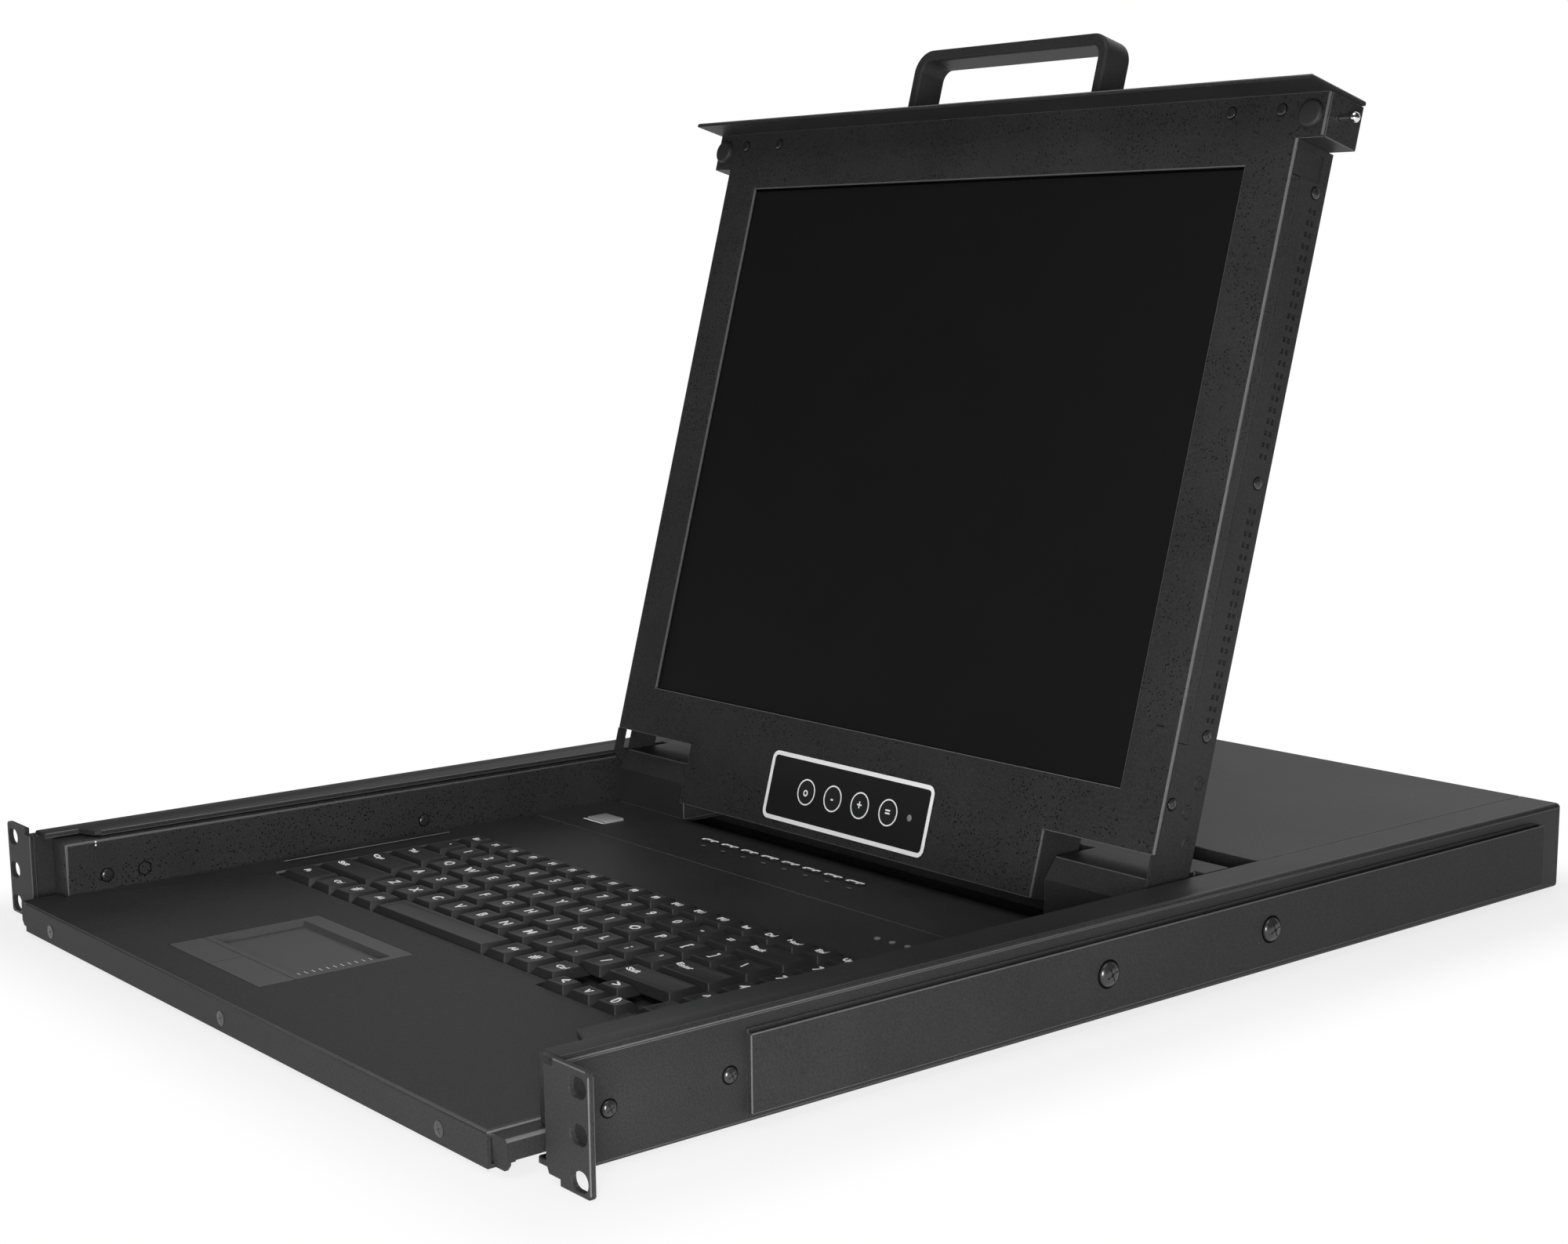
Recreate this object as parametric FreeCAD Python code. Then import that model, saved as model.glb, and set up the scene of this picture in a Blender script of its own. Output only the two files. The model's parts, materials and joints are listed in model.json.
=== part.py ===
import FreeCAD, Part
import math
import os

# Rack console drawer, 1U: a sliding tray with keyboard and touchpad, and a
# screen that folds down over them.  Millimetres.  +X is the user's right,
# +Y runs back into the rack, +Z is up.  The origin is the centre of the rack
# bolt pattern on the front faces of the two ears.

os.makedirs("parts", exist_ok=True)
V = FreeCAD.Vector

# ---------------------------------------------------------------- sizes
# rack ears (19 inch rack, one unit)
HOLE_X = 232.55            # half of 465.1 between the two hole columns
HOLE_PITCH = 15.875
SLOT_LENGTH = 10.0
SLOT_WIDTH = 7.0
EAR_X = 239.0
EAR_IN = 213.2             # inner edge of the ear
EAR_TOP = 22.2
EAR_BOTTOM = -21.0
SHEET = 2.4                # side rail sheet

# side rails
RAIL_X = 217.6             # outer face
RAIL_TOP = 21.0
RAIL_BOTTOM = -20.0
DEPTH = 574.4
TOP_FLANGE = 22.2          # width of the inward top flange
FRONT_FLANGE = 11.8        # narrower part behind the ear
RELIEF_END = 20.5
BOTTOM_FLANGE = 17.6
FLANGE_START = 4.6

# slides
SLIDE_Z = -0.5             # centre line of the slides and their screws
SMALL_SCREWS = (22.4, 73.3)    # along the rail
BIG_SCREWS = (259.5, 358.5)
TRAVEL_HOME = 7.5          # how far the drawer still goes in from rest

# outer cover channel of each rail
CHANNEL_Y0 = 80.5
CHANNEL_Y1 = 558.0
CHANNEL_Z0 = -16.0
CHANNEL_Z1 = 14.5
CHANNEL_T = 3.0

# rear box
BOX_FRONT = 379.8
COVER_X = 195.1

# drawer
TRAY_X = 195.0
TRAY_FRONT = -11.1
TRAY_BACK = 361.0
TRAY_TOP = -6.8
TRAY_T = 1.5
LIP_BOTTOM = -19.9
LEDGE_X = 204.0
LEDGE_Z = -7.6
WALL_IN = 195.9
WALL_OUT = 207.4
WALL_FRONT = 8.6
WALL_TOP = 17.8
GROOVE_Y = 262.0

# keyboard
KEY_TOP = -4.6
KEY_H = 3.6
KEY_GAP = 0.7
KEY_BEVEL = 2.1
U = 19.05                  # column pitch of the main block, 15 columns
ROW = 19.05                # row pitch
FN = 16.75                 # pitch of the function keys
FN_DEPTH = 15.9
PAD_PITCH = 16.4           # pitch of the number pad
KEYS_X0 = -167.5
KEYS_X1 = 186.0
KEYS_Y0 = 101.0
KEYS_Y1 = KEYS_Y0 + 5 * ROW + FN_DEPTH
KEY_TRAVEL = 2.0
ARROW_X0 = 65.0
ARROW_X1 = 118.6
ARROW_Y0 = 93.8
ARROW_MID = 107.4
WELL_FLOOR = -10.8

# touchpad
PAD_X0, PAD_X1 = -88.0, -5.0
PAD_Y0, PAD_Y1 = 8.0, 79.0
BUTTON_Y1 = 24.5
BUTTON_SPLIT = -50.0

# port buttons
PORT_N = 8
PORT_X0 = -81.9
PORT_PITCH = 15.8
PORT_Y = 292.5

# hinge blocks
BLOCK_IN = 131.5
BLOCK_OUT = 189.0
BLOCK_FRONT = 312.8
BLOCK_TOP_Y = 319.6
BEVEL_Z = 12.0
DECK_Y = 345.2             # rear deck joining the two blocks
DECK_X = 194.8

# screen, in its own frame: x, v up the face from the rail top, n out of the
# face towards the user
LEAN = 15.3                # degrees back from upright
FACE_Y = 312.2             # where the face line crosses the rail top height
SCREEN_X = 192.5
SCREEN_T = 25.0
BODY_V0 = 12.5
BODY_V1 = 317.0
TONGUE_X = 128.0
TONGUE_V = -18.1
WINDOW_X = 167.0
WINDOW_V0 = 37.3
WINDOW_V1 = 305.6
SKIN = 1.5
SEAM_N = -7.1
SEAM_V = 60.6
VENTS = [72.5 + 5.0 * k for k in range(19)] + [185.6 + 5.0 * k for k in range(22)]
AXIS_V = -3.35
AXIS_N = -17.04
SHAFT_R = 4.0

# bar, fascia and handle
BAR_X = 205.4
BAR_V1 = 336.0
BAR_T = 22.9
BAR_SCREWS = (-181.3, -153.8, 153.8, 181.3)
BAR_SCREW_V = 328.6
FASCIA_X = 207.0
FASCIA_T = 2.0
FASCIA_N0 = -21.6
FASCIA_N1 = 15.5
HANDLE_X = 65.7
HANDLE_N0 = -22.6
HANDLE_N1 = -6.2
HANDLE_V = 374.2
HANDLE_T = 5.8
PIN_V = 327.0
PIN_N = -9.0
PIN_R = 1.1
PIN_HEAD_R = 2.2
PIN_OUT = 214.9            # with the drawer home this is 1.7 behind the ear's inner edge

# screen buttons
OSD_X = (-31.1, -11.3, 8.6, 28.8)
OSD_V = 3.1
OSD_R = 5.3


# ---------------------------------------------------------------- helpers
def box(x0, x1, y0, y1, z0, z1):
    return Part.makeBox(x1 - x0, y1 - y0, z1 - z0, V(x0, y0, z0))


def rod(p, direction, r, length):
    return Part.makeCylinder(r, length, V(*p), V(*direction))


def fuse(shapes):
    out = shapes[0]
    if len(shapes) > 1:
        out = out.multiFuse(shapes[1:])
    return out.removeSplitter()


def cut(shape, tools):
    return shape.cut(Part.makeCompound(tools)) if tools else shape


def group(shapes):
    solids = []
    for s in shapes:
        solids.extend(s.Solids)
    return Part.makeCompound(solids)


def mirror_x(shape):
    return shape.mirror(V(0, 0, 0), V(1, 0, 0))


def prism_x(points_yz, x0, x1):
    pts = [V(x0, y, z) for y, z in points_yz]
    face = Part.Face(Part.makePolygon(pts + [pts[0]]))
    return face.extrude(V(x1 - x0, 0, 0))


def prism_y(points_xz, y0, y1):
    pts = [V(x, y0, z) for x, z in points_xz]
    face = Part.Face(Part.makePolygon(pts + [pts[0]]))
    return face.extrude(V(0, y1 - y0, 0))


def prism_z(points_xy, z0, z1):
    pts = [V(x, y, z0) for x, y in points_xy]
    face = Part.Face(Part.makePolygon(pts + [pts[0]]))
    return face.extrude(V(0, 0, z1 - z0))


def edges_near(shape, test):
    found = []
    for e in shape.Edges:
        a = e.Vertexes[0].Point
        b = e.Vertexes[-1].Point
        if test(a, b):
            found.append(e)
    return found


def round_edges(shape, radius, test):
    found = edges_near(shape, test)
    return shape.makeFillet(radius, found) if found else shape


def along_y(x, z, tol=0.05):
    def test(a, b):
        return (abs(a.x - x) < tol and abs(b.x - x) < tol
                and abs(a.z - z) < tol and abs(b.z - z) < tol)
    return test


def save(shape, name):
    shape.exportStep("parts/" + name + ".step")


# screen frame: x stays, v and n turn with the lean
TILT = math.radians(90.0 + LEAN)
UP = V(0, -math.cos(TILT), math.sin(TILT))
OUT = V(0, -math.sin(TILT), -math.cos(TILT))
SCREEN_FRAME = FreeCAD.Matrix(1, 0, 0, 0,
                              0, UP.y, OUT.y, FACE_Y,
                              0, UP.z, OUT.z, RAIL_TOP,
                              0, 0, 0, 1)


def hinge_axis():
    return V(0, FACE_Y, RAIL_TOP) + UP * AXIS_V + OUT * AXIS_N


def on_screen(shape):
    moved = shape.copy()
    moved.transformShape(SCREEN_FRAME)
    return moved


# ---------------------------------------------------------------- side rails
def slot_hole(x, z):
    r = SLOT_WIDTH / 2.0
    h = SLOT_LENGTH / 2.0 - r
    parts = [rod((x - h, -1, z), (0, 1, 0), r, 6),
             rod((x + h, -1, z), (0, 1, 0), r, 6),
             box(x - h, x + h, -1, 5, z - r, z + r)]
    return fuse(parts)


def side_rail():
    inner = RAIL_X - SHEET
    wall = box(inner, RAIL_X, 0, DEPTH, RAIL_BOTTOM, RAIL_TOP)
    # the ear's inner edge stands proud of the wall: the latch pins hook behind it
    ear = prism_y([(EAR_IN, EAR_TOP), (EAR_X, EAR_TOP), (EAR_X, EAR_BOTTOM),
                   (EAR_IN + 1.4, EAR_BOTTOM), (EAR_IN + 1.4, -18.4), (EAR_IN, -15.5)],
                  0, SHEET)
    x_wide = RAIL_X - TOP_FLANGE
    x_thin = RAIL_X - FRONT_FLANGE
    y0 = FLANGE_START
    flange = prism_z([(inner, y0), (x_thin, y0), (x_thin, RELIEF_END),
                      (x_thin - 1.6, RELIEF_END + 0.8), (x_wide + 4.0, RELIEF_END + 2.6),
                      (x_wide + 1.2, RELIEF_END + 4.0), (x_wide, RELIEF_END + 6.4),
                      (x_wide, DEPTH), (inner, DEPTH)],
                     RAIL_TOP - SHEET, RAIL_TOP)
    xb = RAIL_X - BOTTOM_FLANGE
    foot = prism_z([(inner, 5.0), (xb + 1.0, 5.0), (xb, 6.0),
                    (xb, DEPTH), (inner, DEPTH)], RAIL_BOTTOM, RAIL_BOTTOM + SHEET)
    body = fuse([wall, ear, flange, foot])
    body = round_edges(body, 2.2, along_y(RAIL_X, RAIL_TOP))
    body = round_edges(body, 2.2, along_y(RAIL_X, RAIL_BOTTOM))
    tools = []
    for k in (-1, 0, 1):
        tools.append(slot_hole(HOLE_X, k * HOLE_PITCH))
    # relief cuts at both ends of the ear's bend
    tools.append(box(inner - 3, RAIL_X + 0.6, -1, FLANGE_START, RAIL_TOP - 1.4, EAR_TOP + 1))
    tools.append(box(inner - 3, RAIL_X + 3.7, -1, 6.0, EAR_BOTTOM - 1, RAIL_BOTTOM + 1.4))
    # corner roundings of the ear
    for z, s in ((EAR_TOP, -1), (EAR_BOTTOM, 1)):
        c = 1.6
        square = box(EAR_X - c, EAR_X + 1, -1, 5, min(z, z + s * c) - (1 if s > 0 else 0),
                     max(z, z + s * c) + (1 if s < 0 else 0))
        disc = rod((EAR_X - c, -1, z + s * c), (0, 1, 0), c, 6)
        tools.append(square.cut(disc))
    # plain holes for the two slide screws
    for y in SMALL_SCREWS:
        tools.append(rod((inner - 1, y, SLIDE_Z), (1, 0, 0), 1.7, 5))
    for y in BIG_SCREWS:
        tools.append(rod((inner - 1, y, SLIDE_Z), (1, 0, 0), 2.1, 5))
    return cut(body, tools)


RAIL = side_rail()
save(RAIL, "side_rail_right")
save(mirror_x(RAIL), "side_rail_left")


def side_channel():
    x0 = RAIL_X
    x1 = RAIL_X + CHANNEL_T
    plate = box(x1 - 1.2, x1, CHANNEL_Y0, CHANNEL_Y1, CHANNEL_Z0, CHANNEL_Z1 - 1.2)
    bottom = box(x0, x1, CHANNEL_Y0, CHANNEL_Y1, CHANNEL_Z0, CHANNEL_Z0 + 1.2)
    front = box(x0, x1, CHANNEL_Y0, CHANNEL_Y0 + 1.2, CHANNEL_Z0, CHANNEL_Z1 - 1.2)
    back = box(x0, x1, CHANNEL_Y1 - 1.2, CHANNEL_Y1, CHANNEL_Z0, CHANNEL_Z1 - 1.2)
    lip = box(x0, x0 + 0.8, CHANNEL_Y0, CHANNEL_Y1 - 7, CHANNEL_Z1 - 0.4, CHANNEL_Z1 + 0.4)
    tail = box(x0, x0 + 0.8, CHANNEL_Y0, CHANNEL_Y0 + 1.2, CHANNEL_Z1 - 1.2, CHANNEL_Z1 + 0.4)
    body = fuse([plate, bottom, front, back, lip, tail])
    # bosses the truss screws pull down on
    bosses = []
    for y in BIG_SCREWS:
        bosses.append(rod((x0, y, SLIDE_Z), (1, 0, 0), 6, CHANNEL_T - 0.6))
    body = fuse([body] + bosses)
    tools = []
    for y in BIG_SCREWS:
        tools.append(rod((x0 - 1, y, SLIDE_Z), (1, 0, 0), 2.1, 6))
    return cut(body, tools)


CHANNEL = side_channel()
save(group([CHANNEL, mirror_x(CHANNEL)]), "side_channels")


def screw_x(x, y, z, head_r, head_h, shank_r, shank_l):
    """Screw with a tapered head outside the face x, shank going inwards."""
    head = Part.makeCone(head_r, head_r * 0.62, head_h, V(x, y, z), V(1, 0, 0))
    shank = rod((x - shank_l, y, z), (1, 0, 0), shank_r, shank_l + 0.2)
    return fuse([head, shank])


chassis_screws = []
for y in SMALL_SCREWS:
    chassis_screws.append(screw_x(RAIL_X, y, SLIDE_Z, 3.0, 1.5, 1.6, 2.9))
for y in BIG_SCREWS:
    chassis_screws.append(screw_x(RAIL_X + CHANNEL_T, y, SLIDE_Z, 5.2, 2.4, 2.0, 5.6))
chassis_screws += [mirror_x(s) for s in chassis_screws]
save(group(chassis_screws), "chassis_screws")


# ---------------------------------------------------------------- slides
def c_channel(x_web, web_t, x_lip, z_half, lip_t, y0, y1):
    """C section opening towards the middle of the rack."""
    zc = SLIDE_Z
    web = box(x_web - web_t, x_web, y0, y1, zc - z_half, zc + z_half)
    top = box(x_lip, x_web, y0, y1, zc + z_half - lip_t, zc + z_half)
    bottom = box(x_lip, x_web, y0, y1, zc - z_half, zc - z_half + lip_t)
    return fuse([web, top, bottom])


SLIDE_WEB = RAIL_X - SHEET
OUTER = c_channel(SLIDE_WEB, 1.0, 209.4, 10.0, 1.2, 12.0, 410.0)
OUTER = cut(OUTER, [rod((SLIDE_WEB - 3, y, SLIDE_Z), (1, 0, 0), 1.7, 6) for y in SMALL_SCREWS]
            + [rod((SLIDE_WEB - 3, y, SLIDE_Z), (1, 0, 0), 2.15, 6) for y in BIG_SCREWS])
save(group([OUTER, mirror_x(OUTER)]), "slide_outers")

MIDDLE = c_channel(EAR_IN - 0.4, 1.0, 209.4, 8.2, 1.2, 18.0, 385.0)
save(group([MIDDLE, mirror_x(MIDDLE)]), "slide_middles")

INNER = c_channel(EAR_IN - 1.8, 1.0, WALL_OUT, 6.4, 1.2, 14.0, 358.0)
save(group([INNER, mirror_x(INNER)]), "slide_inners")


# ---------------------------------------------------------------- rear box
def rear_pan():
    x = 206.0
    z0 = RAIL_BOTTOM + SHEET
    floor = box(-x, x, BOX_FRONT + 1.5, DEPTH - 1.5, z0, z0 + 1.5)
    back = box(-x, x, DEPTH - 1.5, DEPTH, z0, RAIL_TOP - SHEET - 0.2)
    front = box(-x, x, BOX_FRONT + 1.5, BOX_FRONT + 3.0, z0, 10.0)
    body = fuse([floor, back, front])
    tools = [box(-190, -162, DEPTH - 3, DEPTH + 1, -11.5, 8.5)]
    for k in range(PORT_N):
        xc = -128 + k * 38.0
        tools.append(box(xc - 15.6, xc + 15.6, DEPTH - 3, DEPTH + 1, -6.2, 6.2))
    # cable way for the lead that follows the drawer
    tools.append(box(-60, 60, BOX_FRONT, BOX_FRONT + 5, -12, 4))
    return cut(body, tools)


save(rear_pan(), "rear_pan")

cover = box(-COVER_X, COVER_X, BOX_FRONT, DEPTH, RAIL_TOP - 1.5, RAIL_TOP)
cover_front = box(-COVER_X, COVER_X, BOX_FRONT, BOX_FRONT + 1.4, 11.0, RAIL_TOP)
cover_wings = []
for s in (-1, 1):
    xa, xb = sorted((s * (COVER_X - 1.5), s * (RAIL_X - SHEET - 0.5)))
    cover_wings.append(box(xa, xb, BOX_FRONT + 6, DEPTH - 6,
                           RAIL_TOP - SHEET - 1.5, RAIL_TOP - SHEET - 0.1))
    xa, xb = sorted((s * (COVER_X - 1.5), s * COVER_X))
    cover_wings.append(box(xa, xb, BOX_FRONT + 6, DEPTH - 6, RAIL_TOP - SHEET - 1.5, RAIL_TOP))
save(fuse([cover, cover_front] + cover_wings), "rear_cover")


def inlet():
    """Appliance inlet: body, flange and three flat blades."""
    flange = box(-193, -159, DEPTH, DEPTH + 2.0, -13.5, 10.5)
    shell = box(-189.8, -162.2, DEPTH - 22, DEPTH + 2.0, -11.3, 8.3)
    mouth = box(-187, -165, DEPTH - 16, DEPTH + 3, -8.5, 5.5)
    body = cut(fuse([flange, shell]), [mouth])
    blades = []
    for x, z in ((-181, -2.8), (-171, -2.8), (-176, 1.2)):
        blades.append(box(x - 1, x + 1, DEPTH - 17, DEPTH - 3, z - 2, z + 2))
    return fuse([body] + blades)


save(inlet(), "power_inlet")


def port_socket(xc):
    """Shell of one 15-way socket on the rear panel."""
    pts = [(xc - 8.4, 4.0), (xc + 8.4, 4.0), (xc + 7.2, -4.0), (xc - 7.2, -4.0)]
    shell = prism_y(pts, DEPTH - 8, DEPTH + 5.5)
    plate = box(xc - 15.3, xc + 15.3, DEPTH - 1.4, DEPTH - 0.1, -6.0, 6.0)
    posts = [rod((xc + s * 12.5, DEPTH - 0.2, 0), (0, 1, 0), 2.4, 5.0) for s in (-1, 1)]
    return fuse([shell, plate] + posts)


save(group([port_socket(-128 + k * 38.0) for k in range(PORT_N)]), "port_sockets")

board = box(-150, 160, 430, DEPTH - 9, -12.0, -10.4)
chips = [box(-60 + 60 * k, -40 + 60 * k, 470, 490, -10.5, -8.0) for k in range(4)]
feet = [rod((x, y, -16.1), (0, 0, 1), 3, 4.2) for x in (-140, 150) for y in (440, 555)]
save(fuse([board] + chips + feet), "switch_board")
supply = box(-205, -160, 400, 520, -16.1, 10.0)
supply = cut(supply, [box(-203.8, -161.2, 401.2, 518.8, -14.9, 8.8)])
supply = cut(supply, [box(-206, -159, 410 + 10 * k, 414 + 10 * k, -8, 4) for k in range(10)])
save(supply, "power_supply")


# ---------------------------------------------------------------- drawer tray
def tray():
    zt = TRAY_TOP
    zb = TRAY_TOP - TRAY_T
    top = box(-TRAY_X, TRAY_X, TRAY_FRONT, TRAY_BACK, zb, zt)
    lip = box(-TRAY_X, TRAY_X, TRAY_FRONT, TRAY_FRONT + TRAY_T, LIP_BOTTOM, zt)
    hem = box(-TRAY_X, TRAY_X, TRAY_FRONT, TRAY_FRONT + 11, LIP_BOTTOM, LIP_BOTTOM + TRAY_T)
    parts = [top, lip, hem]
    for s in (-1, 1):
        def bx(xa, xb, ya, yb, za, zc):
            p, q = sorted((s * xa, s * xb))
            return box(p, q, ya, yb, za, zc)
        parts.append(bx(TRAY_X - 1.5, TRAY_X, TRAY_FRONT, TRAY_BACK, LEDGE_Z - 1.5, zt))
        parts.append(bx(TRAY_X - 1.5, LEDGE_X, TRAY_FRONT + 2, TRAY_BACK, LEDGE_Z - 1.5, LEDGE_Z))
        parts.append(bx(LEDGE_X - 1.5, LEDGE_X, TRAY_FRONT + 2, TRAY_BACK, -15.4, LEDGE_Z))
        # front end of the ledge, folded down, its lower corners cut off
        end = [(193.5, LEDGE_Z), (204.0, LEDGE_Z), (204.0, -16.8), (202.2, -19.0),
               (196.6, -19.0), (195.2, -17.4), (193.5, -17.4)]
        parts.append(prism_y([(s * x, z) for x, z in end], TRAY_FRONT + 2, TRAY_FRONT + 3.5))
    body = fuse(parts)
    body = round_edges(body, 1.2, along_y(LEDGE_X, LEDGE_Z))
    body = round_edges(body, 1.2, along_y(-LEDGE_X, LEDGE_Z))
    body = round_edges(body, 1.4, lambda a, b: (
        abs(a.z - zt) < 0.02 and abs(b.z - zt) < 0.02
        and ((abs(abs(a.x) - TRAY_X) < 0.02 and abs(a.x - b.x) < 0.02)
             or (abs(a.y - TRAY_FRONT) < 0.02 and abs(b.y - TRAY_FRONT) < 0.02))))
    x0 = KEYS_X0 - 0.8
    x1 = KEYS_X1 + 0.8
    y1 = KEYS_Y1 + 0.8
    tools = [box(x0, x1, KEYS_Y0 - 0.9, y1, zb - 1, zt + 1),
             box(ARROW_X0 - 0.7, ARROW_X1 + 0.7, ARROW_Y0 - 0.7, KEYS_Y0, zb - 1, zt + 1),
             box(PAD_X0, PAD_X1, PAD_Y0, PAD_Y1, zb - 1, zt + 1),
             box(-BLOCK_IN, BLOCK_IN, 313.4, 346.0, zb - 1, zt + 1),
             box(-TRAY_X + 4, TRAY_X - 4, GROOVE_Y - 0.5, GROOVE_Y + 0.5, zt - 0.5, zt + 1)]
    for k in range(PORT_N):
        x = PORT_X0 + k * PORT_PITCH
        tools.append(box(x - 6.2, x + 6.2, PORT_Y - 2.0, PORT_Y + 2.0, zb - 1, zt + 1))
    tools.append(box(-167.0, -150.2, 276.2, 288.8, zb - 1, zt + 1))
    for x, y in ((105.4, 239.0), (114.4, 239.6), (123.4, 240.2)):
        tools.append(rod((x, y, zb - 1), (0, 0, 1), 0.9, 4))
    for x in (-166.8, 0.0, 164.3):
        tools.append(rod((x, TRAY_FRONT - 1, -14.3), (0, 1, 0), 1.6, 4))
    body = cut(body, tools)
    bead = box(x0 - 1.3, x0 - 0.1, KEYS_Y0 - 0.9, y1, zt - 0.2, zt + 0.8)
    bead2 = box(x1 + 0.1, x1 + 1.3, KEYS_Y0 - 0.9, y1, zt - 0.2, zt + 0.8)
    return fuse([body, bead, bead2])


save(tray(), "drawer_tray")


def drawer_floor():
    z0 = -17.6
    x = 192.2
    y0, y1 = 4.0, 352.0
    z1 = TRAY_TOP - TRAY_T - 0.1
    plate = box(-x, x, y0, y1, z0, z0 + 1.2)
    sides = [box(-x, 1.2 - x, y0, y1, z0, z1),
             box(x - 1.2, x, y0, y1, z0, z1),
             box(-x, x, y0, y0 + 1.2, z0, z1),
             box(-x, x, y1 - 1.2, y1, z0, z1)]
    return fuse([plate] + sides)


save(drawer_floor(), "drawer_floor")


def drawer_wall():
    outer = box(WALL_IN, WALL_OUT, WALL_FRONT, TRAY_BACK - 1, LEDGE_Z, WALL_TOP)
    outer = round_edges(outer, 2.2, lambda a, b: (
        abs(a.x - WALL_IN) < 0.02 and abs(b.x - WALL_IN) < 0.02
        and ((abs(a.z - WALL_TOP) < 0.02 and abs(b.z - WALL_TOP) < 0.02)
             or (abs(a.y - WALL_FRONT) < 0.02 and abs(b.y - WALL_FRONT) < 0.02))))
    hollow = box(WALL_IN + 1.5, WALL_OUT - 1.5, WALL_FRONT + 1.5, TRAY_BACK + 1,
                 LEDGE_Z - 1, WALL_TOP - 1.5)
    body = outer.cut(hollow)
    tools = [rod((WALL_IN - 1, y, SLIDE_Z), (1, 0, 0), 1.6, 4) for y in (28.8, 196.9)]
    return cut(body, tools)


WALL = drawer_wall()
save(WALL, "drawer_wall_right")
save(mirror_x(WALL), "drawer_wall_left")

tray_screws = []
for y in (28.8, 196.9):
    head = rod((WALL_IN - 1.2, y, SLIDE_Z), (1, 0, 0), 2.9, 1.2)
    shank = rod((WALL_IN - 0.2, y, SLIDE_Z), (1, 0, 0), 1.5, 6.0)
    s = fuse([head, shank])
    tray_screws += [s, mirror_x(s)]
for x in (-166.8, 0.0, 164.3):
    head = rod((x, TRAY_FRONT - 0.25, -14.3), (0, 1, 0), 3.0, 0.25)
    shank = rod((x, TRAY_FRONT - 0.1, -14.3), (0, 1, 0), 1.5, 7.0)
    tray_screws.append(fuse([head, shank]))
save(group(tray_screws), "tray_screws")


# ---------------------------------------------------------------- hinge cover
def hinge_block():
    """One of the two hollow blocks standing in front of the rear deck."""
    t = 1.5
    b = DECK_Y
    rim = [(BLOCK_FRONT, TRAY_TOP), (BLOCK_FRONT, BEVEL_Z), (BLOCK_TOP_Y, RAIL_TOP),
           (b, RAIL_TOP), (b, TRAY_TOP)]
    solid = prism_x(rim, BLOCK_IN, BLOCK_OUT)
    inside = [(BLOCK_FRONT + t, TRAY_TOP - 1), (BLOCK_FRONT + t, BEVEL_Z - 0.4),
              (BLOCK_TOP_Y + 0.9, RAIL_TOP - t), (b + 1, RAIL_TOP - t), (b + 1, TRAY_TOP - 1)]
    hollow = prism_x(inside, BLOCK_IN + t, BLOCK_OUT - t)
    body = solid.cut(hollow)
    axis = hinge_axis()
    return cut(body, [rod((BLOCK_OUT - 4, axis.y, axis.z), (1, 0, 0), SHAFT_R + 1.0, 8)])


def hinge_cover():
    t = 1.5
    block = hinge_block()
    deck = box(-DECK_X, DECK_X, DECK_Y, TRAY_BACK, RAIL_TOP - t, RAIL_TOP)
    back = box(-DECK_X, DECK_X, TRAY_BACK - t, TRAY_BACK, TRAY_TOP, RAIL_TOP)
    front = box(-BLOCK_IN - 1, BLOCK_IN + 1, DECK_Y, DECK_Y + t, TRAY_TOP, RAIL_TOP)
    parts = [block, mirror_x(block), deck, back, front]
    for s in (-1, 1):
        xa, xb = sorted((s * DECK_X, s * (DECK_X - t)))
        parts.append(box(xa, xb, DECK_Y, TRAY_BACK, TRAY_TOP, RAIL_TOP))
        xa, xb = sorted((s * (BLOCK_OUT - t), s * DECK_X))
        parts.append(box(xa, xb, DECK_Y, DECK_Y + t, TRAY_TOP, RAIL_TOP))
    return fuse(parts)


save(hinge_cover(), "hinge_cover")


def hinge_barrel():
    """Fixed half of the friction hinge: barrel on a foot."""
    a = hinge_axis()
    barrel = rod((146, a.y, a.z), (1, 0, 0), 5.9, 34)
    foot = box(144, 182, a.y - 8, a.y + 16, TRAY_TOP, TRAY_TOP + 2.5)
    web = box(150, 176, a.y - 4, a.y + 4, TRAY_TOP, a.z)
    body = fuse([barrel, foot, web])
    bore = rod((145, a.y, a.z), (1, 0, 0), SHAFT_R + 0.05, 40)
    return cut(body, [bore])


BARREL = hinge_barrel()
save(group([BARREL, mirror_x(BARREL)]), "hinge_barrels")


# ---------------------------------------------------------------- keyboard
def keycap(x0, x1, y0, y1):
    """Low key: square skirt with sloping sides up to a smaller top."""
    g = KEY_GAP / 2.0
    zb = KEY_TOP - KEY_H
    a = [V(x0 + g, y0 + g, zb), V(x1 - g, y0 + g, zb), V(x1 - g, y1 - g, zb), V(x0 + g, y1 - g, zb)]
    s = KEY_BEVEL
    b = [V(x0 + s, y0 + s * 0.8, KEY_TOP), V(x1 - s, y0 + s * 0.8, KEY_TOP),
         V(x1 - s, y1 - s * 0.8, KEY_TOP), V(x0 + s, y1 - s * 0.8, KEY_TOP)]
    faces = [Part.Face(Part.makePolygon([a[0], a[3], a[2], a[1], a[0]])),
             Part.Face(Part.makePolygon([b[0], b[1], b[2], b[3], b[0]]))]
    for i in range(4):
        j = (i + 1) % 4
        faces.append(Part.Face(Part.makePolygon([a[i], a[j], b[j], b[i], a[i]])))
    return Part.makeSolid(Part.makeShell(faces))


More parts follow.
